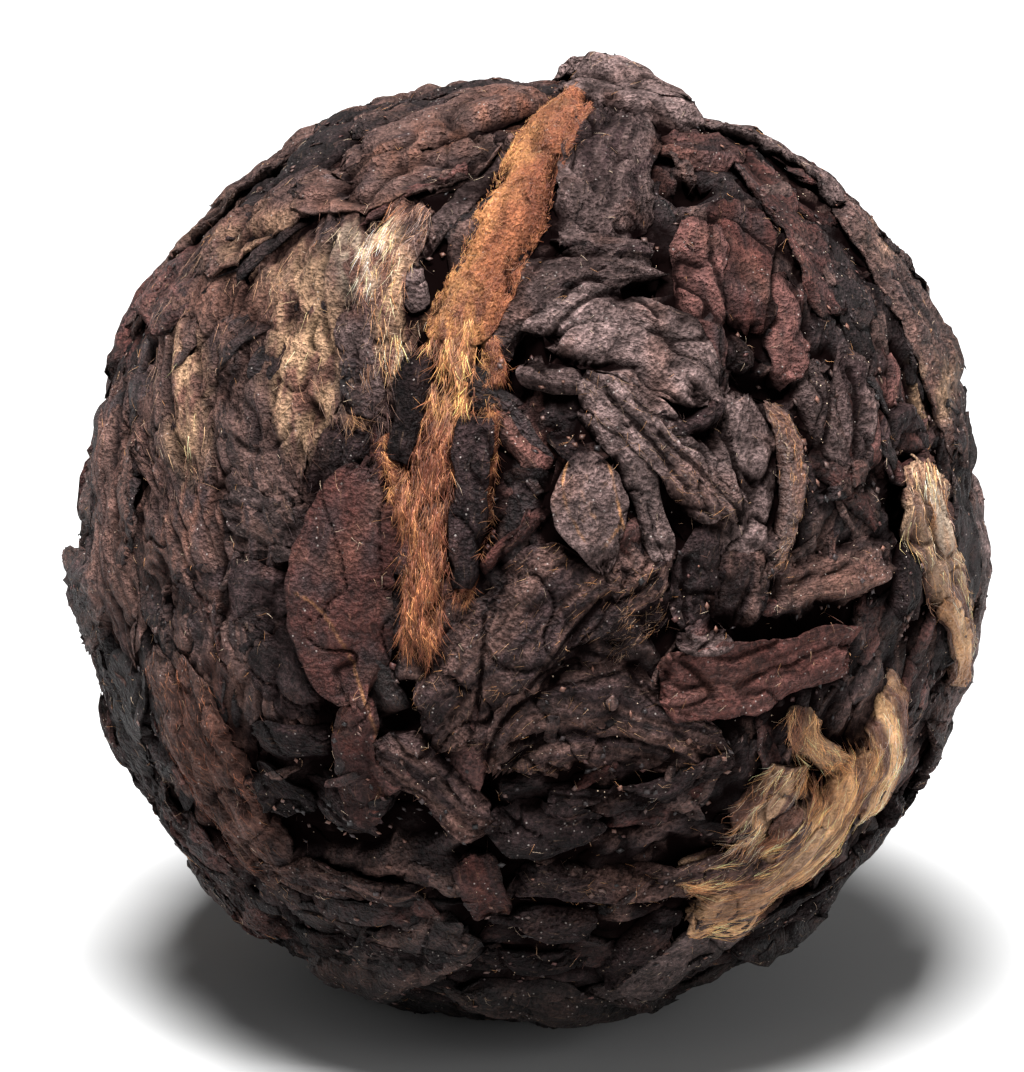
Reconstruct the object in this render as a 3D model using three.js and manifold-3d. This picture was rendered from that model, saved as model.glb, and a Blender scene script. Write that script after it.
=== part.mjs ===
// A ball of ripe tea: whole leaves, stems and buds, steamed, wrapped in cloth and pressed into one lump.
// Millimetres, +Z up. The origin is on the floor, below the ball's centre, and the show side faces -Y.
// The leaves that show are fused to a smaller core, each a little above or below the ball's mean surface.

import * as THREE from "three";
import { mergeVertices } from "three/addons/utils/BufferGeometryUtils.js";
import Module from "manifold-3d";

// Driving dimensions of the ball
const BALL_WIDTH = 24.6; // across the mean surface, in X and Y
const BALL_HEIGHT = 26.0; // the same along Z, before the foot is pressed flat
const FOOT_PRESS = 0.5; // how much of the ball's foot the flat resting spot takes off
const SHOW_TILT = THREE.MathUtils.degToRad(18); // the show side looks this far above the horizon

// Driving dimensions of the core
const CORE_DEPTH = 0.75; // the core's mean surface lies this far below the ball's
const CORE_SWELL = 0.16; // how far the core's lumps rise and fall
const CORE_DETAIL = 3; // how often each edge of its first twenty triangles is split

// Driving dimensions of the leaves
const LEAF_ROOT = 0.45; // how deep a leaf's underside is sunk in the core
const LEAF_EDGE = 0.38; // how far a leaf's edges lie below its crown
const LEAF_UNDERCUT = 0.84; // width of a leaf's underside, as a share of its own
const LEAF_WAVE = 0.12; // height of the waves along a leaf
const LEAF_WAVE_LENGTH = 3.4;
const LEAF_WAVE_SHIFT = 5; // turns the waves of leaves of unlike width out of step
const LEAF_SIDES = 6;
const LEAF_STEPS = 4;

// Driving dimensions of the leaves on the sides, back and foot, which a rule spreads evenly
const SPREAD_COUNT = 96; // leaves it would take to go round the whole ball
const SPREAD_LENGTH = [4.6, 8.2];
const SPREAD_WIDTH = [1.9, 3.3];
const SPREAD_LIFT = [-0.05, 0.4];
const SHOW_CONE = THREE.MathUtils.degToRad(63); // the rule leaves out this cone round the show side

// The broad leaf under the foot, which the ball rests on
const FOOT_LEAF = { length: 7.5, width: 5.4, lift: 0.15, form: "oval" };

// How square a leaf's ends are: 2 is an oval, 5 a strip torn off blunt. A bud also narrows towards its tip.
const FORMS = {
  strip: { squareness: 5, narrowing: 0.15 },
  oval: { squareness: 2.2, narrowing: 0 },
  bud: { squareness: 3, narrowing: 0.6 },
};

// The leaves of the show side. Each row gives a leaf's start, middle and end as millimetres right and up
// of the ball's centre, as the show side is seen, then its width, its crown's height above the mean
// surface, and its form.
const SHOW_LEAVES = {
  // the two rust-coloured buds and the black flakes that lie on the lower one
  rust_bud_upper: [[1.3, 12.0], [-0.3, 9.0], [-2.1, 5.4], 2.1, 0.5, "strip"],
  rust_bud_lower: [[-1.3, 5.3], [-2.2, 1.6], [-2.8, -2.7], 2.0, 0.35, "strip"],
  rust_side: [[-0.9, 3.8], [-1.0, 1.0], [-1.6, -1.4], 0.9, 0.1, "strip"],
  black_flake_left: [[-2.8, 5.2], [-3.1, 3.5], [-3.2, 2.1], 1.1, 0.55, "strip"],
  black_flake_right: [[-1.3, 3.3], [-1.5, 1.1], [-1.6, -1.2], 0.85, 0.55, "strip"],

  // left of the buds
  brown_leaf: [[-4.3, 2.0], [-5.0, -1.4], [-4.7, -4.3], 2.6, 0.42, "oval"],
  brown_leaf_tail: [[-4.6, -3.7], [-4.5, -6.0], [-4.2, -7.6], 1.2, 0.4, "strip"],
  pale_strip: [[-2.8, 8.9], [-3.7, 7.0], [-3.8, 4.3], 1.9, 0.25, "strip"],
  grey_block: [[-4.4, 6.2], [-4.3, 4.8], [-4.2, 3.4], 1.3, 0.35, "strip"],
  tan_patch: [[-6.4, 7.3], [-6.3, 5.2], [-6.6, 3.2], 1.9, 0.2, "strip"],
  tan_sliver: [[-9.0, 5.0], [-9.3, 3.2], [-9.1, 2.2], 0.8, 0.25, "strip"],
  black_flake_mid: [[-4.7, 3.0], [-5.1, 1.9], [-5.2, 0.7], 1.5, 0.42, "strip"],
  speckled_lump: [[-8.2, 1.3], [-7.0, 0.5], [-6.0, -0.3], 2.0, 0.25, "oval"],
  left_flake: [[-9.4, -1.2], [-7.7, -1.4], [-6.3, -1.3], 1.6, 0.15, "strip"],
  left_dark_leaf: [[-7.5, -2.4], [-6.6, -3.4], [-5.9, -4.7], 2.4, 0.2, "strip"],
  left_brown_block: [[-9.2, -2.2], [-8.4, -3.0], [-7.8, -4.0], 1.6, 0.25, "strip"],
  rusty_swathe: [[-9.7, -3.5], [-8.6, -6.0], [-7.2, -8.1], 2.2, 0.32, "strip"],

  // above and left of the buds
  upper_strip_a: [[-5.0, 10.0], [-2.6, 10.9], [0.4, 12.1], 1.3, 0.35, "strip"],
  upper_strip_b: [[-6.0, 9.0], [-3.4, 9.7], [-1.0, 10.6], 1.3, 0.35, "strip"],
  upper_strip_c: [[-3.0, 7.7], [-1.5, 9.1], [0.3, 11.1], 0.95, 0.15, "strip"],
  grey_scale: [[-6.0, 9.7], [-5.4, 9.2], [-4.8, 8.5], 1.6, 0.35, "oval"],
  upper_limb: [[-8.4, 9.2], [-6.9, 10.4], [-4.8, 11.4], 1.6, 0.2, "strip"],

  // the top, and right of the buds
  top_leaf: [[0.6, 12.6], [2.4, 12.5], [4.4, 11.4], 2.2, 0.7, "strip"],
  striated_leaf: [[2.6, 10.7], [2.0, 9.2], [1.8, 7.7], 2.5, 0.35, "strip"],
  red_chip: [[3.5, 10.6], [4.5, 10.4], [5.4, 10.5], 1.5, 0.35, "strip"],
  grey_ridge: [[4.6, 11.2], [6.6, 10.2], [7.9, 8.8], 1.0, 0.42, "strip"],
  red_strip_a: [[4.8, 8.7], [4.7, 6.3], [5.1, 3.8], 1.1, 0.35, "strip"],
  red_strip_b: [[5.7, 8.6], [5.8, 6.9], [5.9, 5.3], 1.5, 0.25, "strip"],
  red_strip_c: [[6.8, 6.8], [6.7, 5.4], [7.3, 3.4], 1.4, 0.2, "bud"],

  // the folded leaf, with its hood above and its pleats running down to the right
  hood_left: [[-0.5, 5.5], [0.8, 6.4], [2.9, 6.9], 2.6, 0.5, "oval"],
  hood_right: [[0.8, 5.3], [2.8, 5.0], [4.7, 3.5], 2.9, 0.55, "oval"],
  pleat_a: [[0.3, 4.1], [1.9, 3.0], [3.2, 0.5], 0.95, 0.4, "strip"],
  pleat_b: [[1.2, 4.2], [3.2, 2.4], [5.4, 0.4], 1.0, 0.5, "strip"],
  pleat_c: [[2.0, 4.3], [4.0, 2.6], [5.8, 1.3], 0.95, 0.45, "strip"],
  hook: [[3.0, 1.9], [3.4, 0.2], [2.2, -1.3], 1.2, 0.3, "strip"],
  broad_dark_leaf: [[6.0, 3.9], [5.6, 1.6], [5.6, -0.8], 2.2, 0.15, "strip"],
  fibre_fold: [[6.4, 3.6], [7.1, 1.6], [6.5, -0.9], 1.1, 0.35, "bud"],

  // the middle
  oval_leaf: [[1.9, 2.1], [1.7, 0.9], [1.9, -0.5], 2.0, 0.62, "oval"],
  centre_wedge: [[4.1, -0.9], [3.0, -1.9], [1.9, -2.7], 1.6, 0.25, "strip"],
  block_a: [[4.8, 0.3], [4.6, -1.1], [4.6, -2.4], 1.2, 0.35, "strip"],
  block_b: [[5.8, 0.0], [5.7, -1.2], [5.6, -2.3], 1.2, 0.2, "strip"],
  diagonal_leaf: [[1.7, -0.6], [-0.5, -3.0], [-2.6, -5.2], 2.9, 0.35, "strip"],
  bowl_leaf: [[-0.8, -6.3], [1.7, -5.0], [4.8, -6.0], 2.9, 0.35, "oval"],
  round_flap: [[-0.8, -7.6], [0.5, -7.8], [1.8, -7.6], 1.7, 0.4, "oval"],

  // right and lower right
  maroon_strip: [[3.5, -3.8], [5.7, -3.6], [8.7, -2.8], 1.8, 0.65, "strip"],
  ridge_strip: [[6.5, -1.5], [8.2, -1.0], [9.7, -0.5], 1.5, 0.4, "strip"],
  dark_lump: [[10.2, 0.0], [10.2, -1.1], [10.1, -2.2], 1.1, 0.25, "oval"],
  tan_strip: [[10.4, 1.8], [11.1, -0.5], [11.8, -3.0], 1.1, 0.35, "strip"],
  right_strip_a: [[8.7, 5.2], [8.6, 3.3], [8.5, 1.7], 0.9, 0.25, "strip"],
  right_strip_b: [[9.6, 4.9], [9.5, 3.3], [9.2, 1.9], 1.2, 0.2, "strip"],
  right_curl: [[9.4, 2.2], [10.0, 3.3], [10.8, 2.3], 0.9, 0.3, "strip"],
  long_strip: [[-0.4, -9.1], [3.0, -9.4], [6.3, -8.4], 1.3, 0.42, "strip"],
  gold_sweep: [[5.5, -8.9], [7.3, -7.6], [9.0, -5.0], 1.9, 0.4, "strip"],
  gold_clump: [[9.7, -4.2], [9.6, -5.8], [9.1, -7.2], 1.9, 0.35, "strip"],
  low_right_limb: [[4.5, -11.4], [7.2, -10.0], [9.4, -8.3], 1.7, 0.2, "strip"],

  // lower left and foot
  left_bud: [[-3.8, -5.4], [-2.4, -6.7], [-1.1, -7.7], 1.5, 0.4, "bud"],
  foot_block_a: [[-5.9, -6.6], [-5.1, -7.3], [-4.3, -8.0], 2.2, 0.25, "strip"],
  foot_block_b: [[-7.3, -5.3], [-6.3, -5.4], [-5.3, -5.5], 1.3, 0.35, "strip"],
  brown_chip: [[-1.6, -8.6], [-1.2, -9.4], [-0.9, -10.1], 1.2, 0.35, "strip"],
  dark_chip: [[-0.2, -10.2], [0.6, -10.5], [1.8, -10.6], 1.2, 0.25, "strip"],
  low_strip_a: [[-7.2, -9.1], [-5.2, -9.4], [-3.2, -9.8], 1.6, 0.25, "strip"],
  low_strip_b: [[-6.4, -10.7], [-3.0, -11.4], [1.5, -11.4], 1.2, 0.2, "strip"],
  low_left_limb: [[-11.5, -4.3], [-10.1, -7.2], [-7.6, -9.9], 1.4, 0.2, "strip"],
};

// The pressed leaves of the whole ball, seen from a step away
const PRESSED_LEAF = { color: 0x3b2825, roughness: 0.75, metalness: 0 };

const HALF_WIDTH = BALL_WIDTH / 2;
const HALF_HEIGHT = BALL_HEIGHT / 2;
const CENTRE_HEIGHT = HALF_HEIGHT - FOOT_PRESS;
const SHOW_AXIS = new THREE.Vector3(0, -Math.cos(SHOW_TILT), Math.sin(SHOW_TILT));
const SHOW_RIGHT = new THREE.Vector3(1, 0, 0);
const SHOW_UP = new THREE.Vector3(0, Math.sin(SHOW_TILT), Math.cos(SHOW_TILT));
const SHOW_HALF_HEIGHT = Math.hypot(HALF_HEIGHT * Math.cos(SHOW_TILT), HALF_WIDTH * Math.sin(SHOW_TILT));
const GOLDEN = (1 + Math.sqrt(5)) / 2;
const PATH_STEP = 0.01; // share of a path over which its heading is read
const MERGE_DISTANCE = 1e-4; // corners closer than this are one corner

const wasm = await Module();
wasm.setup();

// The mean surface's distance from the ball's centre, along a unit direction.
function meanRadius(direction) {
  const across = (direction.x ** 2 + direction.y ** 2) / HALF_WIDTH ** 2;
  return 1 / Math.sqrt(across + direction.z ** 2 / HALF_HEIGHT ** 2);
}

// The direction of the point that the show side has at this many millimetres right and up of its centre.
function showDirection([right, up]) {
  const depth = 1 - (right / HALF_WIDTH) ** 2 - (up / SHOW_HALF_HEIGHT) ** 2;
  return new THREE.Vector3()
    .addScaledVector(SHOW_RIGHT, right)
    .addScaledVector(SHOW_UP, up)
    .addScaledVector(SHOW_AXIS, HALF_WIDTH * Math.sqrt(Math.max(depth, 0)))
    .normalize();
}

// A point on the curve that passes through three points at 0, one half and 1.
function curveThrough([start, middle, end], along) {
  return new THREE.Vector3()
    .addScaledVector(start, (1 - along) * (1 - 2 * along))
    .addScaledVector(middle, 4 * along * (1 - along))
    .addScaledVector(end, along * (2 * along - 1));
}

// A leaf is a sphere drawn out along its path, flattened, and laid over the ball.
// The sphere's poles are the leaf's ends, and each ring between them is one section of the leaf.
function leafGeometry({ path, width, lift, form }) {
  const { squareness, narrowing } = FORMS[form];
  const length = path[0].distanceTo(path[1]) + path[1].distanceTo(path[2]);
  const geometry = new THREE.SphereGeometry(1, LEAF_SIDES, LEAF_STEPS);
  const position = geometry.getAttribute("position");
  const vertex = new THREE.Vector3();
  for (let i = 0; i < position.count; i++) {
    vertex.fromBufferAttribute(position, i);
    const along = (1 - vertex.y) / 2;
    const ring = Math.sqrt(Math.max(1 - vertex.y ** 2, 1e-12));
    const across = vertex.x / ring;
    const up = vertex.z / ring;

    const fullness = Math.max(1 - Math.abs(2 * along - 1) ** squareness, 0) ** (1 / squareness);
    const half = (width / 2) * fullness * (1 - narrowing * along);
    const onPath = curveThrough(path, along);
    const ahead = curveThrough(path, Math.min(along + PATH_STEP, 1));
    const behind = curveThrough(path, Math.max(along - PATH_STEP, 0));
    const aside = onPath.clone().cross(ahead.sub(behind)).normalize();
    const underside = up < -0.1;
    const spread = underside ? across * LEAF_UNDERCUT : across;

    const wavePhase = (2 * Math.PI * along * length) / LEAF_WAVE_LENGTH + width * LEAF_WAVE_SHIFT;
    const edge = lift + LEAF_WAVE * Math.sin(wavePhase) - LEAF_EDGE;
    const reach = underside ? edge + CORE_DEPTH + LEAF_ROOT : LEAF_EDGE;
    const direction = onPath.addScaledVector(aside, half * spread).normalize();
    const radius = meanRadius(direction) + edge + reach * up;
    position.setXYZ(i, ...direction.multiplyScalar(radius).toArray());
  }
  return geometry;
}

// The core is a ball of small triangles, pushed in and out by a few slow waves.
function coreGeometry() {
  const geometry = new THREE.IcosahedronGeometry(1, CORE_DETAIL);
  const position = geometry.getAttribute("position");
  const vertex = new THREE.Vector3();
  for (let i = 0; i < position.count; i++) {
    vertex.fromBufferAttribute(position, i).normalize();
    const { x, y, z } = vertex;
    const swell = (Math.sin(9 * x + 2 * z) + Math.sin(8 * y - 3 * x) + Math.sin(10 * z)) / 3;
    const radius = meanRadius(vertex) - CORE_DEPTH + CORE_SWELL * swell;
    position.setXYZ(i, ...vertex.multiplyScalar(radius).toArray());
  }
  return geometry;
}

// A row of the show side's table as a leaf.
function showLeaf([start, middle, end, width, lift, form]) {
  const path = [start, middle, end].map((spot) => {
    const direction = showDirection(spot);
    return direction.clone().multiplyScalar(meanRadius(direction));
  });
  return { path, width, lift, form };
}

// A leaf with its middle in this direction, lying this far round from east.
function leafAround(centre, heading, { length, width, lift, form }) {
  const east = new THREE.Vector3(0, 1, 0).cross(centre).normalize();
  const north = centre.clone().cross(east);
  const ahead = east.multiplyScalar(Math.cos(heading)).addScaledVector(north, Math.sin(heading));
  const halfAngle = length / 2 / HALF_WIDTH;
  const path = [-halfAngle, 0, halfAngle].map((angle) => {
    const direction = centre.clone().multiplyScalar(Math.cos(angle));
    direction.addScaledVector(ahead, Math.sin(angle));
    return direction.multiplyScalar(meanRadius(direction));
  });
  return { path, width, lift, form };
}

// A value between low and high that jumps about evenly from one step to the next.
function between([low, high], step, stride) {
  const share = (step * GOLDEN * stride) % 1;
  return low + (high - low) * share;
}

// The leaves of the sides, back and foot. Their middles lie on a golden spiral from pole to pole,
// and each has its own heading and size.
function spreadLeaves() {
  const leaves = [];
  for (let i = 0; i < SPREAD_COUNT; i++) {
    const height = 1 - (2 * i + 1) / SPREAD_COUNT;
    const turn = 2 * Math.PI * GOLDEN * i;
    const flat = Math.sqrt(1 - height ** 2);
    const centre = new THREE.Vector3(flat * Math.cos(turn), flat * Math.sin(turn), height);
    if (centre.angleTo(SHOW_AXIS) < SHOW_CONE) continue;

    const leaf = {
      length: between(SPREAD_LENGTH, i, 7),
      width: between(SPREAD_WIDTH, i, 11),
      lift: between(SPREAD_LIFT, i, 13),
      form: i % 3 ? "strip" : "oval",
    };
    leaves.push(leafAround(centre, between([0, Math.PI], i, 5), leaf));
  }
  return leaves;
}

// A shape's triangles as a solid that can be joined and cut.
function solidFrom(geometry) {
  const bare = new THREE.BufferGeometry().setAttribute("position", geometry.getAttribute("position"));
  if (geometry.index) bare.setIndex(geometry.index);
  const merged = mergeVertices(bare, MERGE_DISTANCE);
  return new wasm.Manifold(
    new wasm.Mesh({
      numProp: 3,
      vertProperties: new Float32Array(merged.getAttribute("position").array),
      triVerts: new Uint32Array(merged.index.array),
    }),
  );
}

// A solid's triangles as a shape that can be shown.
function geometryFrom(solid) {
  const mesh = solid.getMesh();
  const geometry = new THREE.BufferGeometry();
  geometry.setAttribute("position", new THREE.BufferAttribute(mesh.vertProperties, 3));
  geometry.setIndex(new THREE.BufferAttribute(mesh.triVerts, 1));
  geometry.computeVertexNormals();
  return geometry;
}

// The core with every leaf fused on and the foot pressed flat.
// Of what that leaves, only the outer shell is kept: hollows are filled and loose scraps dropped.
function ballSolid() {
  const footLeaf = leafAround(new THREE.Vector3(0, 0, -1), 0, FOOT_LEAF);
  const leaves = [...Object.values(SHOW_LEAVES).map(showLeaf), ...spreadLeaves(), footLeaf];
  const solids = leaves.map((leaf) => solidFrom(leafGeometry(leaf)));
  const fused = solids.reduce((ball, leaf) => ball.add(leaf), solidFrom(coreGeometry()));
  const floorBlock = new THREE.BoxGeometry(2 * BALL_WIDTH, 2 * BALL_WIDTH, BALL_HEIGHT);
  floorBlock.translate(0, 0, -CENTRE_HEIGHT - BALL_HEIGHT / 2);
  const shells = fused.subtract(solidFrom(floorBlock)).decompose();
  return shells.reduce((largest, shell) => (shell.volume() > largest.volume() ? shell : largest));
}

const teaBall = new THREE.Mesh(geometryFrom(ballSolid()), new THREE.MeshStandardMaterial(PRESSED_LEAF));
teaBall.name = "tea_ball";
teaBall.position.z = CENTRE_HEIGHT;

const part = new THREE.Group();
part.add(teaBall);

export default part;
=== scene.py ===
"""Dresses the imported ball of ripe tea.

The ball is a bed of pressed leaf, with scraps, larger leaves, buds, tips, hairs and dust pressed over it. A
map of the whole ball keeps the height of what lies uppermost, so that each leaf drapes over those before it.
Lengths are worked out in millimetres and become metres when a mesh is made.
"""

import itertools
import math
from dataclasses import dataclass
from functools import cache

import bpy
import numpy as np
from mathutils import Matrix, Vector


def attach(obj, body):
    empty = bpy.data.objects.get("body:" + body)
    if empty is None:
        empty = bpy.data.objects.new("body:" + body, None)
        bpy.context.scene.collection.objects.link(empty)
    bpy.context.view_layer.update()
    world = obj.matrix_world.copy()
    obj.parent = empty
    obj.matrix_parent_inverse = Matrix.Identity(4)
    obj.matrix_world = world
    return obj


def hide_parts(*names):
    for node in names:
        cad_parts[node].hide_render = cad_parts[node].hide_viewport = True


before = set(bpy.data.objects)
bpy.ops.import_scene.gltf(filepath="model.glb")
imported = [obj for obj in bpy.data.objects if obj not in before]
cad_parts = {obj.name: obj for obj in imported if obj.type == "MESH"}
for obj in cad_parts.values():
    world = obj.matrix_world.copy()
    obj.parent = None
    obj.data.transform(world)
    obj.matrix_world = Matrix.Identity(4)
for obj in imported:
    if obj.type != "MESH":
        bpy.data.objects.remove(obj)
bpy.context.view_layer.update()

bl_info = {
    "name": "Ripe Tea Ball",
    "version": (1, 0, 0),
    "blender": (4, 5, 0),
    "location": "View3D > Sidebar > Tea Ball",
    "description": "Lays the leaves, buds, hairs and dust of a pressed ball of ripe tea",
    "category": "Mesh",
}

MM = 0.001
GOLDEN = (1 + math.sqrt(5)) / 2
BODY = "root"
NODE = "tea_ball"
SEEDS = {"flakes": 12, "spread": 13, "show": 14, "down": 15, "scraps": 16, "ribbons": 17}

# The show side: where the viewer stands, and the directions that are right and up as it is seen.
SHOW_TILT = math.radians(18)
SHOW_AXIS = np.array([0, -math.cos(SHOW_TILT), math.sin(SHOW_TILT)])
SHOW_UP = np.array([0, math.sin(SHOW_TILT), math.cos(SHOW_TILT)])
SHOW_RIGHT = np.array([1.0, 0, 0])
SHOW_FRAME = np.stack([SHOW_RIGHT, SHOW_UP, SHOW_AXIS])

# How far the viewer's eye is from the ball's centre and how far above that centre the middle of the outline
# is seen, in millimetres, and how much larger the outline is than the plain ellipsoid's.
EYE_DISTANCE = 220.0
SIGHT_MIDDLE = 0.32
SIGHT_SCALE = 1.0185

# Broad bulges and dents of the ball: where they lie right, up and to the front, reach in radians and height
# in millimetres.
BULGES = (
    ((0.79, 0.60, 0.1), 0.62, 0.5),
    ((0.35, 0.93, 0.1), 0.17, -0.55),
    ((0.77, -0.62, 0.1), 0.45, -0.3),
    ((-0.50, 0.86, 0.1), 0.40, 0.2),
    ((-0.77, -0.62, 0.1), 0.30, -0.3),
)

# The share of a crown's height that is left after pressing, and how much wider that makes a leaf.
PRESSED = 0.7
WIDENED = 1.05

# How a leaf is pressed, in millimetres: the depth of its cracks, the height and length of its wave, how high
# it drapes over what lies under it, how little it may clear that, how far it may rise over its crown, how far
# its edges give, how deep it is filled below, and how softly two heights run into each other.
CRACK_DEPTH = 0.13
WAVE_HEIGHT = 0.06
WAVE_LENGTH = 3.4
DRAPE = 0.04
CLEARANCE = 0.03
HEADROOM = 0.25
EDGE_FALL = 0.5
FILL_DEPTH = 0.9
SOFTNESS = 0.03

# How long the torn fibres of a leaf's ends are, as a share of its raggedness and width.
TORN = 1.07

# How square a leaf's ends are, and how much it narrows towards its tip.
FORMS = {
    "strip": (5.0, 0.15),
    "oval": (2.2, 0.0),
    "bud": (3.0, 0.6),
    "brush": (5.0, 0.32),
    "almond": (1.7, 0.15),
}


@dataclass(frozen=True)
class Look:
    """A kind of leaf: its piece, its two colours, and in millimetres the depth of its crumples, pleats,
    wrinkles, gnarls and pits and its thickness. Streak, warmth and valley are shares: of the colour that
    changes along the grain, of the warm patches, and of the light that the valleys lose. Meld is how much
    more of its edge than a half runs into what lies under it, fringe how warm its edges are, flank the colour
    that one of its sides goes over to, ragged how uneven its outline is, and dome how far in millimetres its
    edges lie below its middle."""

    piece: str
    colour: str
    second: str
    crumple: float
    pleat: float
    wrinkle: float
    gnarl: float
    pits: float = 0.0
    thickness: float = 0.10
    streak: float = 0.4
    warmth: float = 0.3
    valley: float = 0.8
    meld: float = 0.0
    fringe: float = 0.0
    flank: str = ""
    ragged: float = 0.28
    dome: float = 0.0


# What the looks of the golden tips, and of the satin ribbons on them, have in common.
TIP = {"streak": 1.0, "warmth": 0.55, "valley": 0.6, "fringe": 0.45, "dome": 0.1}
SATIN = {"streak": 1.0, "valley": 0.5, "meld": 0.2, "fringe": 0.5}

LOOKS = {
    "black": Look("dark_leaves", "black", "dark", 0.12, 0.06, 0.03, 0.015, warmth=0.1, meld=0.15),
    "dark": Look("dark_leaves", "dark", "black", 0.22, 0.12, 0.05, 0.018, meld=0.15),
    "slate": Look("dark_leaves", "slate", "dark", 0.20, 0.13, 0.055, 0.018, meld=0.08),
    "hump": Look("dark_leaves", "grey", "slate", 0.20, 0.12, 0.05, 0.018, meld=0.8, ragged=0.1, dome=0.4),
    "ribbed": Look("dark_leaves", "slate", "dark", 0.12, 0.10, 0.10, 0.02, streak=0.8),
    "pad": Look(
        "dark_leaves", "slate", "dark", 0.06, 0.04, 0.015, 0.018,
        streak=0.2, valley=0.6, meld=-0.6, ragged=0.12,
    ),
    "grey": Look("dark_leaves", "grey", "slate", 0.16, 0.09, 0.04, 0.018),
    "fibrous": Look(
        "dark_leaves", "dark", "umber", 0.18, 0.14, 0.09, 0.018,
        streak=0.7, warmth=0.2, meld=0.2,
    ),
    "brown": Look("brown_leaves", "brown", "dark", 0.12, 0.06, 0.035, 0.012),
    "blade": Look(
        "brown_leaves", "brown", "dark", 0.05, 0.03, 0.015, 0.012,
        streak=0.2, valley=0.6, meld=-0.5, ragged=0.16,
    ),
    "maroon": Look("brown_leaves", "maroon", "dark", 0.20, 0.13, 0.06, 0.018, meld=0.1),
    "slab": Look("brown_leaves", "brown", "maroon", 0.07, 0.05, 0.03, 0.018, valley=0.6),
    "rust": Look(
        "rust_buds", "rust", "ember", 0.08, 0.12, 0.08, 0.03,
        streak=0.6, warmth=0, valley=0.5, flank="amber", ragged=0.14, dome=0.3,
    ),
    "russet": Look(
        "rust_buds", "ember", "rust", 0.10, 0.18, 0.12, 0.03,
        streak=0.9, warmth=0, valley=0.8, ragged=0.2, dome=0.25,
    ),
    "gold": Look("golden_tips", "gold", "warm", 0.05, 0.14, 0.09, 0.012, meld=0.1, **TIP),
    "tan": Look("golden_tips", "tan", "warm", 0.05, 0.14, 0.09, 0.012, meld=0.2, **TIP),
    "matted": Look(
        "matted_leaves", "umber", "dark", 0.12, 0.16, 0.06, 0.015,
        pits=0.12, streak=0.8, valley=0.65, meld=0.4,
    ),
    "worn": Look(
        "matted_leaves", "umber", "dark", 0.30, 0.10, 0.05, 0.04,
        pits=0.15, streak=0.5, valley=0.75, meld=-0.15,
    ),
    "satin_gold": Look("golden_tips", "gold", "amber", 0.03, 0.05, 0.05, 0.006, warmth=0.4, **SATIN),
    "satin_pale": Look("golden_tips", "pale", "amber", 0.03, 0.05, 0.05, 0.006, warmth=0.3, **SATIN),
    "satin_tan": Look("golden_tips", "tan", "warm", 0.04, 0.07, 0.05, 0.01, streak=1.0, valley=0.5),
    "satin_brown": Look("golden_tips", "warm", "umber", 0.03, 0.06, 0.05, 0.01, streak=1.0, valley=0.4),
    "satin_grey": Look(
        "golden_tips", "grey", "dark", 0.04, 0.06, 0.05, 0.02,
        streak=0.7, warmth=0.1, valley=0.5,
    ),
}

# How each piece of leaf is finished: material, slot, colour and share of its fibres, roughness, shine, and
# how strong its grain is. The ribbons share the tips' finish.
TIP_FINISH = ("golden_tip", "golden_tip", (0.75, 0.50, 0.29), 0.45, 0.50, 0.40, 0.35)
FINISHES = {
    "leaf_bed": ("bed_flakes", "pressed_leaf", (0.16, 0.10, 0.06), 0.35, 0.70, 0.15, 1.0),
    "leaf_scraps": ("leaf_scrap", "pressed_leaf", (0.20, 0.12, 0.07), 0.35, 0.65, 0.20, 1.0),
    "back_leaves": ("back_leaf", "pressed_leaf", (0.22, 0.14, 0.08), 0.35, 0.62, 0.22, 1.0),
    "dark_leaves": ("dark_leaf", "pressed_leaf", (0.22, 0.14, 0.09), 0.30, 0.55, 0.08, 1.0),
    "brown_leaves": ("brown_leaf", "brown_leaf", (0.26, 0.14, 0.08), 0.30, 0.68, 0.12, 0.8),
    "rust_buds": ("rust_bud", "rust_bud", (0.42, 0.20, 0.10), 0.40, 0.80, 0.15, 0.4),
    "golden_tips": TIP_FINISH,
    "matted_leaves": ("matted_leaf", "pressed_leaf", (0.28, 0.17, 0.10), 0.45, 0.68, 0.15, 0.65),
    "tip_ribbons": TIP_FINISH,
    "top_scraps": ("late_scrap", "pressed_leaf", (0.20, 0.12, 0.07), 0.35, 0.62, 0.20, 1.0),
}

# The pieces that the named leaves of the show side are made into, in order.
SHOW_PIECES = ("dark_leaves", "brown_leaves", "rust_buds", "golden_tips", "matted_leaves")

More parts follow.
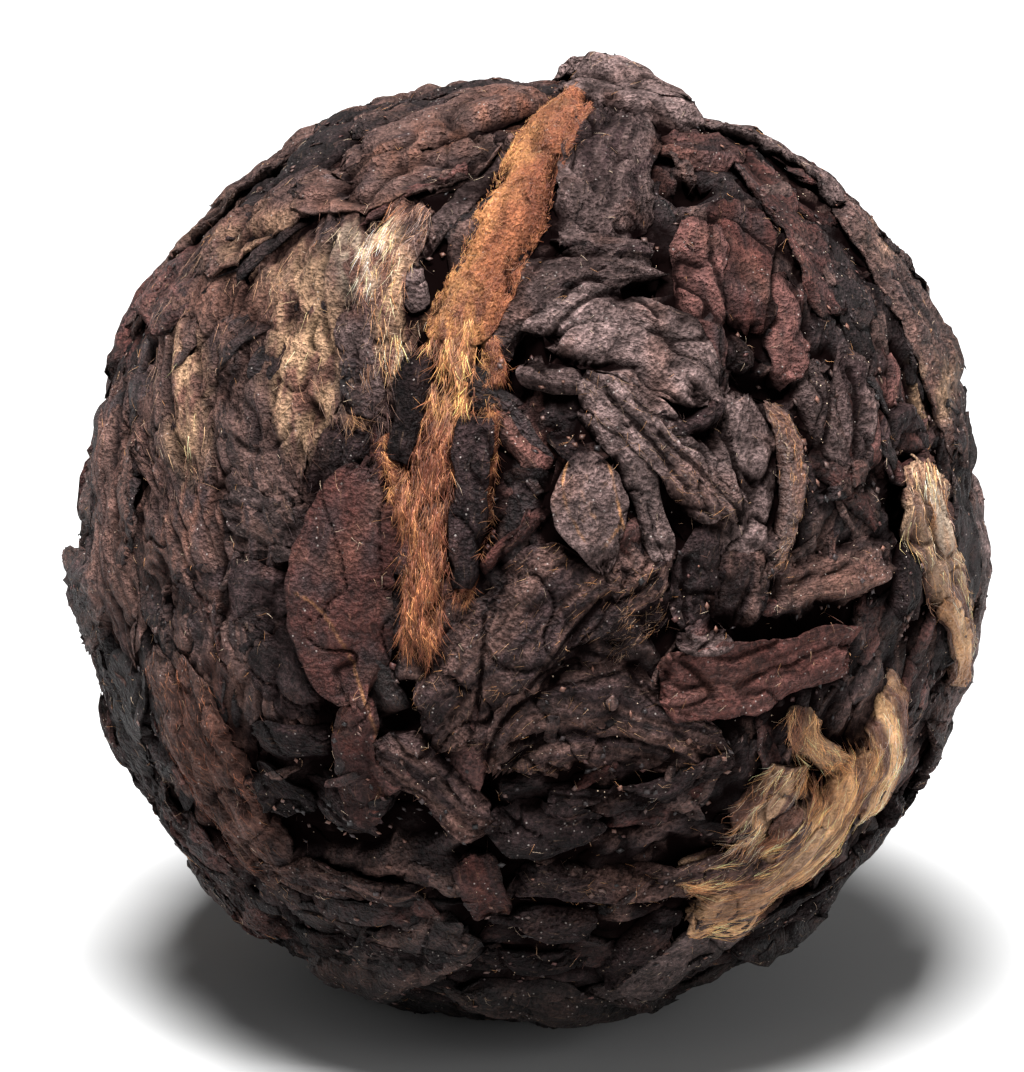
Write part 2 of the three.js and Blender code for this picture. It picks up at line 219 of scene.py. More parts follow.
# Soft stains of the show side, on the bed, the matted leaves, the buds and the tips: middle, reach right and
# up, colour and strength.
STAINS = (
    ((-6.1, 5.5), (1.0, 2.4), "tan", 0.8),
    ((-5.9, 4.0), (0.8, 1.6), "tan", 0.8),
    ((-9.2, 3.7), (0.6, 1.9), "tan", 0.9),
    ((-4.3, 7.7), (0.8, 1.2), "pale", 0.75),
    ((-3.6, 6.3), (0.6, 1.9), "tan", 0.9),
    ((-7.9, 6.4), (1.5, 0.9), "warm", 0.8),
    ((-8.7, -5.6), (1.0, 2.8), "ember", 0.45),
    ((-7.4, -7.4), (0.8, 1.4), "ember", 0.35),
    ((-0.5, 11.5), (1.0, 0.4), "rust", 0.4),
    ((-2.2, 10.8), (0.8, 0.5), "rust", 0.4),
    ((-3.6, 10.1), (0.8, 0.4), "rust", 0.35),
    ((-3.9, 8.9), (1.6, 0.35), "rust", 0.4),
    ((-4.6, 1.4), (0.7, 2.2), "amber", 0.3),
    ((-10.8, 1.0), (0.7, 3.0), "warm", 0.4),
    ((8.3, -1.0), (1.4, 0.7), "warm", 0.6),
    ((-2.0, 5.2), (0.9, 2.2), "amber", 0.85),
    ((1.0, 11.2), (1.1, 1.3), "ember", 0.75),
    ((-7.1, 8.2), (1.3, 0.9), "warm", 0.6),
    ((-7.4, 8.0), (1.6, 1.0), "tan", 0.3),
    ((-9.3, 0.5), (1.4, 1.6), "dark", 0.9),
    ((5.9, -9.3), (1.9, 0.9), "warm", 0.65),
    ((8.6, -6.6), (1.3, 1.3), "amber", 0.5),
    ((11.0, -0.6), (0.7, 2.8), "warm", 0.35),
    ((10.7, 3.9), (0.5, 1.1), "tan", 0.6),
    ((9.3, 8.7), (0.5, 1.3), "tan", 0.45),
)

# Deep hollows between the leaves of the show side: middle, and reach right and up.
HOLLOWS = (
    ((3.0, 7.2), (1.2, 0.5)),
    ((4.4, 9.6), (0.7, 0.4)),
    ((7.1, 8.8), (0.6, 0.4)),
    ((5.9, 4.2), (0.5, 0.4)),
    ((-0.4, 4.6), (0.35, 1.1)),
    ((3.7, 0.3), (0.5, 1.0)),
    ((4.5, -4.9), (1.5, 0.4)),
    ((-0.6, -5.3), (0.5, 1.2)),
    ((-3.4, -4.6), (0.6, 0.7)),
    ((-4.6, -8.2), (0.9, 0.4)),
    ((2.5, -7.6), (0.9, 0.4)),
    ((10.3, 1.0), (0.4, 1.2)),
    ((7.7, -6.4), (0.5, 0.5)),
    ((-8.7, 1.9), (0.5, 0.5)),
    ((-7.5, 4.0), (0.4, 0.4)),
    ((-5.5, -7.7), (1.6, 0.9)),
    ((-3.2, -7.7), (0.9, 0.8)),
    ((-1.2, -7.0), (0.3, 1.2)),
    ((6.6, 4.2), (0.7, 0.35)),
)

# Creases of the show side, each a curve through three points. They run over whatever leaf lies there.
CREASES = (
    ((0.5, 5.4), (1.5, 6.3), (2.5, 6.7)),
    ((2.5, 6.7), (3.0, 6.4), (3.4, 5.9)),
    ((-0.1, 4.9), (1.0, 4.7), (2.8, 4.6)),
    ((0.9, 6.4), (1.4, 6.9), (1.9, 6.9)),
    ((1.3, 4.6), (2.6, 3.3), (4.2, 1.4)),
    ((2.7, 3.7), (3.6, 3.2), (4.6, 3.6)),
    ((3.4, 2.8), (4.4, 1.9), (5.6, 0.7)),
    ((1.9, -1.6), (1.0, -2.7), (-0.1, -4.0)),
    ((2.5, -2.7), (1.3, -3.2), (0.5, -4.0)),
    ((0.5, -5.3), (-0.1, -5.7), (-0.8, -6.1)),
    ((0.9, -6.1), (1.9, -6.7), (3.3, -7.0)),
    ((3.7, -3.0), (4.4, -3.5), (4.8, -4.1)),
    ((5.2, 3.0), (5.6, 1.6), (5.7, 0.5)),
    ((-4.9, 9.8), (-3.7, 10.3), (-3.0, 10.7)),
    ((-2.9, 9.6), (-1.6, 9.9), (-0.8, 10.7)),
    ((-5.2, 8.1), (-5.5, 6.5), (-5.3, 5.1)),
    ((-8.0, 5.7), (-7.4, 5.9), (-6.8, 5.7)),
    ((-7.8, 2.7), (-7.1, 2.4), (-6.4, 3.0)),
    ((-9.4, 6.0), (-9.7, 4.2), (-9.5, 2.2)),
    ((-10.9, 4.2), (-11.2, 1.8), (-11.0, -0.6)),
    ((-8.6, 0.9), (-8.2, -0.9), (-8.4, -2.8)),
    ((-10.0, -0.4), (-9.8, -2.2), (-9.4, -4.0)),
    ((-1.2, -6.2), (-0.4, -4.5), (1.2, -3.8)),
    ((1.2, -3.8), (2.2, -3.6), (3.3, -3.2)),
    ((1.8, -1.8), (0.9, -3.0), (0.2, -4.2)),
    ((-1.2, -1.6), (-1.3, -3.8), (-1.6, -5.4)),
    ((-0.5, -5.5), (0.1, -5.3), (0.7, -5.1)),
    ((0.5, -6.0), (1.1, -6.3), (1.7, -6.7)),
    ((1.9, -6.5), (2.9, -6.8), (3.6, -7.1)),
    ((-0.9, -7.0), (0.3, -6.8), (1.9, -6.9)),
    ((4.2, -0.5), (4.2, -1.6), (4.3, -2.7)),
    ((1.9, -1.8), (2.8, -1.4), (3.4, -0.9)),
    ((4.9, 8.9), (4.8, 7.8), (5.2, 6.2)),
    ((5.2, 5.9), (5.7, 5.5), (6.0, 5.3)),
    ((6.4, 6.8), (6.4, 5.9), (6.3, 5.1)),
    ((8.2, 9.2), (8.9, 8.9), (9.6, 8.7)),
    ((9.0, 8.3), (9.5, 7.4), (9.9, 6.5)),
    ((9.2, 6.9), (9.9, 6.8), (10.6, 6.9)),
    ((10.0, 6.3), (10.5, 5.4), (10.9, 4.4)),
    ((10.1, 5.1), (10.7, 5.2), (11.3, 5.5)),
    ((5.9, 4.5), (7.1, 3.2), (7.3, 1.9)),
    ((7.9, 4.6), (8.0, 3.2), (7.8, 1.9)),
    ((8.6, 4.6), (8.7, 3.2), (8.6, 1.9)),
    ((9.5, 3.8), (9.6, 2.7), (9.8, 1.6)),
    ((10.2, 1.4), (10.7, 0.3), (10.9, -0.5)),
)

# Veins that show lighter on some leaves: their strength, and curves through three points each.
VEINS = {
    "oval_leaf": (0.65, (
        ((1.0, 2.0), (0.9, 1.1), (1.4, 0.0)),
        ((2.1, 2.2), (2.3, 1.1), (2.5, 0.3)),
        ((2.1, 1.6), (1.7, 1.1), (1.35, 0.5)),
        ((1.5, 1.7), (1.4, 1.1), (1.7, 0.6)),
        ((2.4, 0.4), (2.1, 0.0), (1.8, -0.4)),
    )),
    "brown_leaf": (0.3, (((-6.0, -1.4), (-5.2, -2.2), (-4.3, -4.4)),)),
    "brown_leaf_tail": (0.15, (((-4.3, -4.4), (-4.0, -5.8), (-4.1, -7.2)),)),
}

# The leaves of the show side: start, middle and end in millimetres right and up of the outline's middle as it
# is seen, width, crown's height over the mean surface, form and look. The lowest crowns are laid first.
SHOW_LEAVES = {
    # the two rust-coloured buds and the black flakes that lie on the lower one
    "rust_bud_upper": ((-2.1, 5.2), (-0.35, 8.9), (1.3, 11.9), 2.05, 0.58, "brush", "rust"),
    "rust_bud_lower": ((-1.75, 6.1), (-2.6, 1.7), (-2.95, -2.9), 1.5, 0.35, "strip", "russet"),
    "rust_side": ((-1.15, 3.9), (-1.4, 1.1), (-1.9, -1.7), 0.8, 0.1, "strip", "russet"),
    "rust_tuft": ((-1.2, 5.5), (-0.9, 4.9), (-0.9, 4.2), 0.7, 0.2, "strip", "russet"),
    "rust_fringe": ((-3.7, 2.9), (-3.6, 1.7), (-3.5, 0.2), 0.6, 0.25, "strip", "russet"),
    "black_flake_left": ((-2.9, 5.0), (-3.2, 3.5), (-3.4, 2.1), 0.9, 0.55, "strip", "black"),
    "black_flake_right": ((-1.35, 3.3), (-1.6, 1.1), (-1.85, -1.3), 0.95, 0.5, "strip", "black"),
    # left of the buds
    "brown_leaf": ((-4.3, 2.0), (-5.0, -1.4), (-4.6, -4.3), 2.7, 0.5, "oval", "blade"),
    "brown_leaf_tail": ((-4.4, -4.1), (-4.7, -5.9), (-4.2, -7.7), 1.3, 0.42, "oval", "blade"),
    "pale_strip": ((-2.9, 8.9), (-3.8, 7.0), (-3.9, 4.3), 1.5, 0.25, "strip", "matted"),
    "grey_block": ((-4.6, 6.1), (-4.5, 4.8), (-4.2, 3.4), 1.1, 0.35, "strip", "slate"),
    "black_flake_mid": ((-4.7, 3.0), (-5.1, 1.9), (-5.2, 0.7), 1.5, 0.42, "strip", "black"),
    "speckled_lump": ((-8.0, 1.1), (-7.0, 0.4), (-6.1, -0.3), 1.7, 0.2, "oval", "slate"),
    "left_flake": ((-9.4, -1.2), (-7.7, -1.4), (-6.3, -1.3), 1.6, 0.1, "oval", "dark"),
    "left_dark_leaf": ((-7.5, -2.4), (-6.6, -3.4), (-5.9, -4.7), 2.0, 0.2, "strip", "dark"),
    "small_curl": ((-3.1, 7.2), (-3.0, 6.7), (-2.8, 6.1), 0.7, 0.15, "strip", "grey"),
    "left_mat_a": ((-11.0, 4.4), (-11.5, 0.8), (-10.8, -3.2), 3.0, 0.05, "strip", "matted"),
    "left_mat_b": ((-8.0, 8.6), (-9.2, 5.2), (-9.0, 1.6), 3.9, 0.12, "oval", "matted"),
    "left_mat_c": ((-5.2, 9.0), (-6.5, 5.4), (-6.2, 1.4), 4.2, 0.18, "oval", "matted"),
    "left_mat_d": ((-3.6, 9.2), (-4.4, 6.0), (-4.4, 2.4), 3.0, 0.1, "strip", "matted"),
    "left_mat_e": ((-10.2, 2.0), (-8.6, -1.8), (-9.0, -5.6), 4.2, 0.05, "strip", "matted"),
    "left_mat_f": ((-6.9, 2.2), (-6.6, -2.0), (-7.0, -5.6), 3.8, 0.08, "oval", "matted"),
    "left_mat_g": ((-9.7, -3.2), (-8.7, -6.4), (-6.8, -9.2), 3.0, 0.2, "strip", "matted"),
    "left_mat_h": ((-10.6, 6.0), (-8.9, 8.4), (-6.2, 10.4), 3.0, 0.05, "strip", "worn"),
    "left_mat_i": ((-8.2, 3.4), (-7.4, 1.2), (-5.4, 0.4), 2.6, 0.14, "oval", "matted"),
    "left_mat_j": ((-8.8, 7.0), (-7.2, 8.4), (-5.2, 9.4), 2.4, 0.22, "strip", "worn"),
    # above and left of the buds
    "upper_strip_a": ((-5.0, 10.0), (-2.6, 11.0), (0.3, 12.0), 2.2, 0.32, "strip", "worn"),
    "upper_strip_b": ((-6.0, 9.0), (-3.4, 9.6), (-1.0, 10.5), 1.8, 0.28, "strip", "worn"),
    "upper_strip_c": ((-3.0, 7.7), (-1.7, 9.1), (-0.1, 10.9), 0.8, 0.15, "strip", "slate"),
    "upper_strip_d": ((-5.4, 8.2), (-3.6, 9.0), (-1.6, 10.0), 0.6, 0.15, "strip", "maroon"),
    "grey_scale": ((-6.2, 9.7), (-5.6, 9.3), (-4.9, 9.0), 1.1, 0.25, "oval", "slate"),
    "upper_limb": ((-8.4, 9.2), (-6.9, 10.4), (-4.8, 11.4), 1.8, 0.2, "strip", "worn"),
    "upper_limb_b": ((-4.4, 12.0), (-2.5, 12.2), (-0.3, 12.5), 1.8, 0.2, "strip", "worn"),
    # the top, and right of the buds
    "top_leaf": ((1.15, 12.4), (2.3, 12.4), (4.0, 11.3), 3.0, 1.25, "oval", "hump"),
    "top_fill": ((1.2, 11.9), (2.6, 11.75), (4.4, 10.9), 2.8, 0.75, "strip", "hump"),
    "striated_leaf": ((2.6, 11.3), (2.1, 9.4), (1.8, 7.7), 2.6, 0.4, "strip", "ribbed"),
    "striated_lip": ((0.8, 7.9), (2.0, 7.7), (3.2, 7.6), 0.7, 0.45, "strip", "ribbed"),
    "red_chip": ((3.5, 10.6), (4.5, 10.4), (5.4, 10.5), 1.5, 0.35, "strip", "maroon"),
    "grey_ridge": ((4.6, 11.2), (6.6, 10.2), (7.9, 8.8), 1.0, 0.42, "strip", "grey"),
    "right_limb": ((6.2, 10.9), (8.4, 9.2), (10.2, 7.3), 1.8, 0.2, "strip", "slate"),
    "red_strip_a": ((4.6, 8.5), (4.5, 6.5), (4.8, 4.0), 1.4, 0.4, "strip", "maroon"),
    "red_strip_b": ((5.6, 9.0), (5.6, 7.2), (5.8, 5.6), 1.7, 0.35, "strip", "brown"),
    "red_strip_c": ((6.9, 6.8), (6.75, 5.6), (7.0, 4.2), 1.3, 0.3, "strip", "maroon"),
    "black_lump": ((5.0, 5.3), (5.5, 5.0), (6.1, 4.7), 0.8, 0.35, "oval", "black"),
    # the folded leaf, with its hood above and its pleats running down to the right
    "hood_upper": ((-0.4, 5.3), (0.4, 6.6), (2.9, 7.0), 1.9, 0.55, "oval", "slate"),
    "hood_face": ((0.4, 5.5), (2.6, 5.3), (4.7, 3.8), 2.5, 0.6, "oval", "grey"),
    "hood_flap": ((-0.1, 4.9), (0.6, 4.4), (1.7, 4.2), 0.9, 0.5, "strip", "slate"),
    "hood_lip": ((3.3, 3.1), (4.2, 3.1), (5.0, 3.7), 0.6, 0.55, "strip", "dark"),
    "inner_curl": ((0.8, 3.0), (1.3, 2.3), (2.1, 2.6), 0.7, 0.3, "strip", "dark"),
    "pleat_a": ((1.4, 3.7), (2.8, 1.9), (3.6, -0.6), 0.85, 0.4, "strip", "grey"),
    "pleat_b": ((1.4, 4.3), (3.3, 2.4), (5.1, 0.6), 1.0, 0.55, "strip", "grey"),
    "pleat_c": ((1.9, 4.5), (3.9, 2.8), (5.7, 0.6), 0.9, 0.5, "strip", "grey"),
    "hook": ((3.5, 0.0), (3.2, -1.1), (1.9, -1.6), 1.1, 0.3, "strip", "fibrous"),
    "broad_dark_leaf": ((6.0, 3.9), (5.6, 1.6), (5.6, -0.8), 2.2, 0.15, "strip", "grey"),
    "fibre_fold": ((6.4, 3.6), (7.1, 1.6), (6.5, -0.9), 1.1, 0.35, "bud", "satin_brown"),
    # the middle
    "oval_leaf": ((1.5, 2.3), (1.6, 0.9), (1.9, -0.8), 2.0, 0.62, "almond", "pad"),
    "centre_wedge": ((4.1, -0.9), (3.0, -1.9), (1.9, -2.7), 1.6, 0.25, "strip", "dark"),
    "block_a": ((4.9, 0.5), (4.6, -1.1), (4.5, -2.5), 1.4, 0.35, "oval", "dark"),
    "block_b": ((5.9, -0.3), (5.7, -1.3), (5.5, -2.4), 1.4, 0.2, "strip", "fibrous"),
    "diagonal_leaf": ((1.7, -0.6), (-0.5, -3.0), (-2.6, -5.2), 2.9, 0.35, "strip", "fibrous"),
    "twig": ((0.6, 0.9), (-0.5, -0.1), (-1.3, -0.8), 0.4, 0.3, "strip", "brown"),
    "rolled_leaf": ((-0.8, 1.6), (-0.1, 1.6), (0.6, 1.6), 0.7, 0.0, "strip", "black"),
    "hollow_leaf": ((-0.5, 3.8), (0.1, 2.7), (0.6, 1.9), 1.4, -0.1, "strip", "maroon"),
    "bowl_leaf": ((-0.8, -6.3), (1.7, -5.0), (5.2, -6.2), 3.1, 0.35, "oval", "fibrous"),
    "bowl_rim": ((0.6, -7.0), (3.0, -6.9), (5.4, -5.7), 0.9, 0.4, "strip", "dark"),
    "round_flap": ((-0.8, -7.6), (0.5, -7.8), (1.8, -7.6), 1.7, 0.45, "oval", "black"),
    # right and lower right
    "maroon_strip": ((3.5, -3.8), (5.7, -3.6), (8.7, -2.8), 1.8, 0.65, "strip", "slab"),
    "maroon_fold": ((3.9, -2.6), (4.6, -2.7), (5.4, -2.6), 0.5, 0.7, "strip", "slate"),
    "ridge_strip": ((6.5, -1.5), (8.2, -1.0), (9.7, -0.5), 1.6, 0.4, "strip", "matted"),
    "dark_lump": ((10.2, 0.0), (10.2, -1.1), (10.1, -2.2), 1.1, 0.25, "oval", "black"),
    "tan_strip": ((10.4, 2.0), (11.1, -0.5), (11.7, -3.4), 2.4, 0.36, "strip", "tan"),
    "right_strip_a": ((8.7, 5.2), (8.6, 3.3), (8.5, 1.7), 1.3, 0.25, "strip", "slate"),
    "right_strip_b": ((9.6, 4.9), (9.5, 3.3), (9.2, 1.9), 1.6, 0.2, "strip", "maroon"),
    "right_strip_c": ((7.4, 4.9), (7.9, 3.0), (8.8, 1.1), 1.2, 0.25, "strip", "slate"),
    "right_curl": ((9.4, 2.2), (10.0, 3.3), (10.8, 2.3), 0.9, 0.3, "strip", "dark"),
    "right_curl_low": ((9.5, 2.2), (10.1, 1.7), (10.7, 2.3), 0.7, 0.25, "strip", "brown"),
    "long_strip": ((-0.4, -9.1), (3.0, -9.4), (6.3, -8.4), 1.3, 0.42, "strip", "fibrous"),
    "gold_sweep": ((4.5, -10.1), (7.4, -8.6), (8.9, -5.9), 2.4, 0.38, "strip", "gold"),
    "gold_band": ((4.2, -9.2), (6.5, -8.5), (7.8, -6.9), 1.6, 0.33, "strip", "tan"),
    "olive_patch": ((7.4, -6.3), (6.6, -7.2), (5.7, -8.1), 1.8, 0.3, "strip", "tan"),
    "gold_clump": ((9.7, -4.2), (9.8, -5.8), (9.2, -7.5), 2.0, 0.34, "strip", "gold"),
    "gold_flame": ((7.5, -4.6), (7.7, -5.5), (8.6, -6.3), 0.9, 0.22, "strip", "satin_tan"),
    "low_right_limb": ((4.5, -11.4), (7.2, -10.0), (9.4, -8.3), 1.7, 0.2, "strip", "dark"),
    "limb_lump_a": ((10.9, -4.9), (10.9, -5.9), (10.5, -6.7), 1.2, 0.45, "oval", "slate"),
    "limb_lump_b": ((10.2, -7.0), (9.8, -7.9), (9.0, -8.6), 1.1, 0.4, "oval", "dark"),
    "limb_lump_c": ((8.6, -9.0), (7.9, -9.7), (7.1, -10.2), 1.1, 0.4, "oval", "dark"),
    # lower left and foot, whose black and dark looks are partly the leaves' own colour and partly painted
    # shade
    "left_bud": ((-3.8, -5.4), (-2.4, -6.7), (-1.1, -7.7), 1.5, 0.35, "strip", "fibrous"),
    "foot_block_a": ((-5.9, -6.6), (-5.1, -7.3), (-4.3, -8.0), 2.2, 0.0, "strip", "black"),
    "foot_block_b": ((-7.3, -5.3), (-6.3, -5.4), (-5.3, -5.5), 1.3, 0.35, "strip", "black"),
    "foot_block_c": ((-7.2, -6.6), (-6.7, -6.9), (-6.3, -7.4), 1.4, 0.3, "strip", "black"),
    "brown_chip": ((-1.6, -8.6), (-1.2, -9.4), (-0.9, -10.1), 1.2, 0.35, "strip", "brown"),
    "dark_chip": ((-0.2, -10.2), (0.6, -10.5), (1.8, -10.6), 1.2, 0.25, "strip", "black"),
    "low_strip_a": ((-7.2, -9.1), (-5.2, -9.4), (-3.2, -9.8), 1.2, 0.2, "strip", "fibrous"),
    "low_strip_b": ((-6.4, -10.7), (-3.0, -11.4), (1.5, -11.4), 1.2, 0.2, "strip", "black"),
    "low_strip_c": ((2.0, -11.9), (3.3, -10.9), (4.0, -10.2), 1.0, 0.25, "strip", "dark"),
    "low_left_limb": ((-11.5, -4.3), (-10.1, -7.2), (-7.6, -9.9), 1.4, 0.2, "strip", "dark"),
}


@dataclass(frozen=True)
class Strands:
    """A kind of strand: piece, colours, count, lengths, widths and rises in millimetres, the spread of
    headings in radians and of bends per millimetre, the number of sections along it, and the range of its
    brightness."""

    piece: str
    colours: tuple
    count: int
    length: tuple
    width: tuple
    rise: tuple
    turn: float
    bend: float
    rings: int = 4
    shades: tuple = (0.6, 1.2)


UPPER_DOWN = Strands(
    "bud_down", ("rust", "amber", "rust"), 5200,
    (0.06, 0.2), (0.007, 0.014), (0.0, 0.015), 0.5, 0.8, 3, (0.65, 1.05),
)
LOWER_DOWN = Strands(
    "bud_down", ("rust", "rust", "amber"), 3000,
    (0.2, 0.65), (0.008, 0.020), (0.0, 0.02), 0.28, 0.7, 4, (0.3, 1.5),
)
RUST_FIBRE = Strands(
    "bud_down", ("rust", "amber", "ember"), 500,
    (0.1, 0.35), (0.007, 0.014), (0.0, 0.02), 0.6, 1.0, 3,
)
BROWN_FIBRE = Strands(
    "bud_down", ("ember", "warm", "rust"), 420,
    (0.1, 0.4), (0.007, 0.014), (0.0, 0.02), 0.6, 1.0, 3,
)
LONG_GOLD = Strands(
    "tip_strands", ("gold", "amber", "amber", "warm"), 800,
    (0.2, 0.7), (0.006, 0.012), (0.0, 0.01), 0.25, 0.5, 5, (0.4, 1.6),
)
LONG_PALE = Strands(
    "tip_strands", ("pale", "gold", "amber", "warm"), 500,
    (0.2, 0.7), (0.006, 0.012), (0.0, 0.01), 0.25, 0.5, 5, (0.4, 1.6),
)
MAT_FIBRE = Strands(
    "tip_strands", ("tan", "warm", "umber"), 200,
    (0.2, 0.8), (0.005, 0.011), (0.0, 0.02), 0.5, 0.6,
)
FINE_FIBRE = Strands(
    "loose_hairs", ("tan", "warm", "amber", "umber"), 240,
    (0.08, 0.4), (0.005, 0.009), (0.0, 0.02), 0.6, 0.8, 3, (0.3, 1.0),
)
STRAY_HAIR = Strands(
    "loose_hairs", ("amber", "warm", "tan", "pale", "umber"), 3000,
    (0.08, 0.32), (0.005, 0.010), (0.0, 0.05), 3.0, 1.5,
)

# Narrow satin ribbons that golden and pale leaves are split into: leaf, count and looks.
RIBBONS = {
    "gold_band": (2, ("satin_brown", "satin_tan")),
    "tan_strip": (2, ("satin_gold", "satin_pale")),
    "olive_patch": (3, ("satin_grey", "satin_tan", "satin_brown")),
}

# The leaves that no scrap lies on.
BARE_LEAVES = (
    "rust_bud_upper", "rust_bud_lower", "rust_side", "hood_upper", "hood_face", "oval_leaf", "brown_leaf",
    "maroon_strip", "gold_sweep", "gold_band", "gold_clump", "gold_flame", "tan_strip", "pale_strip",
    "pleat_a", "pleat_b", "pleat_c", "diagonal_leaf", "broad_dark_leaf", "round_flap", "black_flake_left",
    "black_flake_right", "upper_strip_a", "upper_strip_b", "striated_leaf", "top_fill", "red_strip_a",
    "red_strip_b", "red_strip_c", *(f"left_mat_{letter}" for letter in "abcdefghij"),
)

# The strands that each leaf carries.
DOWN = {
    "rust_bud_upper": UPPER_DOWN,
    "rust_bud_lower": LOWER_DOWN,
    **dict.fromkeys(("rust_side", "rust_tuft", "rust_fringe"), RUST_FIBRE),
    **dict.fromkeys(("gold_sweep", "gold_band", "gold_flame"), LONG_GOLD),
    **dict.fromkeys(("gold_clump", "tan_strip", "pale_strip", "olive_patch"), LONG_PALE),
    **dict.fromkeys(("left_mat_b", "left_mat_c", "left_mat_d"), MAT_FIBRE),
    "left_mat_g": BROWN_FIBRE,
    **dict.fromkeys(("long_strip", "diagonal_leaf", "bowl_leaf"), FINE_FIBRE),
    **dict.fromkeys(("fibre_fold", "centre_wedge", "pleat_b"), FINE_FIBRE),
}

# Dust and crumbs: count, least and greatest reach and thickness in millimetres, and colours.
GRAINS = (
    (3600, (0.009, 0.026), 0.010, ("dust", "pale")),
    (3000, (0.03, 0.13), 0.025, ("dark", "black", "brown", "warm", "umber")),
)

# The looks of the scraps in the bed and of those on the show side, to draw from.
FLAKE_LOOKS = ("dark", "matted", "black", "brown", "matted", "maroon", "fibrous", "dark")
SCRAP_LOOKS = ("dark", "black", "brown", "dark", "maroon", "fibrous", "matted", "dark")

# The looks of the leaves on the sides, back and foot, in the order in which they are dealt out, and those of
# them that are light.
SPREAD_LOOKS = (
    "dark", "brown", "matted", "fibrous", "black", "maroon",
    "dark", "grey", "tan", "matted", "fibrous", "russet",
)
LIGHT_LOOKS = ("tan", "russet")

# The finish of leaf: how often its mottling, knobs, velvet and specks repeat in a metre, the depth of its
# grain in metres, the colour of dust, and the black that is painted shade in crevices.
MOTTLE_SCALE = 900.0
KNOB_SCALE = 3200.0
VELVET_SCALE = 9000.0
SPECK_SCALE = 4600.0
GRAIN_DEPTH = 0.00026
DUST_TONE = (0.46, 0.40, 0.37, 1)
PAINTED_CREVICE_SHADE = (0.002, 0.001, 0.001, 1)

# The stage: half the floor's side in metres, its shade, the lights' places and widths in metres and powers in
# watts, and the strength of the light from all around.
FLOOR_REACH = 1.5
FLOOR_SHADE = 0.46
LIGHTS = {
    "key_light": ((-0.03, -0.12, 0.60), 0.24, 14.2),
    "fill_light": ((-0.30, -0.34, 0.22), 0.30, 0.12),
    "side_light": ((0.36, -0.26, 0.16), 0.30, 0.6),
}
AMBIENT = 0.15

# The camera: its sensor's size, the height of what it takes in at the ball's centre, and how far left of that
# centre and above it the camera aims, all in millimetres.
SENSOR_SIZE = 36
VIEW_HEIGHT = 29.48
AIM_OFFSET = 0.44


def length_property(name, description, default):
    """A size in metres that the sidebar shows in the scene's units."""
    shown = {"precision": 5, "unit": "LENGTH", "subtype": "DISTANCE"}
    return bpy.props.FloatProperty(name=name, description=description, default=default, min=0.0, **shown)


def colour_property(name, description, default):
    """A linear colour that the sidebar shows as a swatch."""
    return bpy.props.FloatVectorProperty(
        name=name, description=description, default=default, size=3, min=0.0, max=1.0, subtype="COLOR"
    )


class TeaBallSizes(bpy.types.PropertyGroup):
    """Sizes of the ball and of what lies on it."""

    width: length_property("Ball width", "Across the mean surface, in X and Y", 0.0246)
    height: length_property("Ball height", "Along Z, before the foot is pressed", 0.0260)
    foot_press: length_property("Foot press", "How much of the foot the flat resting spot takes off", 0.0005)
    bed_depth: length_property("Bed depth", "How far the bed lies below the mean surface", 0.00045)
    show_step: length_property("Show leaf step", "Spacing of the points of a leaf on the show side", 0.000065)
    spread_step: length_property("Spread leaf step", "Spacing of the points of a leaf elsewhere", 0.00013)


class TeaBallColours(bpy.types.PropertyGroup):
    """Colours of the leaves, buds and hairs."""

    black: colour_property("Black leaf", "The darkest, leathery leaves", (0.0105, 0.0058, 0.0062))
    dark: colour_property("Dark leaf", "Most of the leaves", (0.031, 0.0185, 0.0185))
    slate: colour_property("Slate leaf", "Dark leaves that catch more light", (0.092, 0.060, 0.056))
    grey: colour_property("Grey leaf", "Smooth leaves with a grey bloom", (0.150, 0.101, 0.095))
    brown: colour_property("Brown leaf", "Smooth reddish-brown leaves", (0.066, 0.0225, 0.0185))
    maroon: colour_property("Maroon leaf", "Leaves with a purple cast", (0.118, 0.050, 0.043))
    rust: colour_property("Rust bud", "Down of the buds", (0.31, 0.108, 0.050))
    ember: colour_property("Ember bud", "Shaded down of the buds", (0.17, 0.055, 0.030))
    amber: colour_property("Amber bud", "Lighter down at the buds' tips", (0.58, 0.27, 0.105))
    gold: colour_property("Golden tip", "Golden leaf tips", (0.95, 0.545, 0.265))
    tan: colour_property("Tan tip", "Dull golden leaf tips", (0.54, 0.325, 0.190))
    pale: colour_property("Pale tip", "The palest leaf tips", (0.70, 0.53, 0.38))
    umber: colour_property("Umber leaf", "Matted leaf with a grey-brown cast", (0.104, 0.058, 0.049))
    warm: colour_property("Warm patch", "Brown patches on the darker leaves", (0.140, 0.062, 0.043))
    dust: colour_property("Dust", "Specks of leaf dust", (0.42, 0.36, 0.32))


def gradient_noise(points, seed=0):
    """Smooth noise from about -1 to 1: each whole-number corner of space has a hashed slope, the slopes'
    planes are read at the point, and the eight around it are blended with a smooth step along each axis."""
    cell = np.floor(points).astype(np.int64)
    inner = points - cell
    blend = inner**3 * (inner * (inner * 6 - 15) + 10)
    total = np.zeros(points.shape[:-1])
    for corner in itertools.product((0, 1), repeat=3):
        key = (cell + corner) @ np.array([73856093, 19349663, 83492791]) + seed * 2654435761
        key = (key ^ (key >> 13)) * 1274126177 & 0xFFFFFFFF
        key = (key ^ (key >> 15)) * 2246822519 & 0xFFFFFFFF
        slope = np.stack([(key >> shift) & 0x3FF for shift in (2, 12, 22)], -1) / 511.5 - 1
        weight = np.where(corner, blend, 1 - blend).prod(-1)
        total += weight * (slope * (inner - corner)).sum(-1)
    return total * 1.4


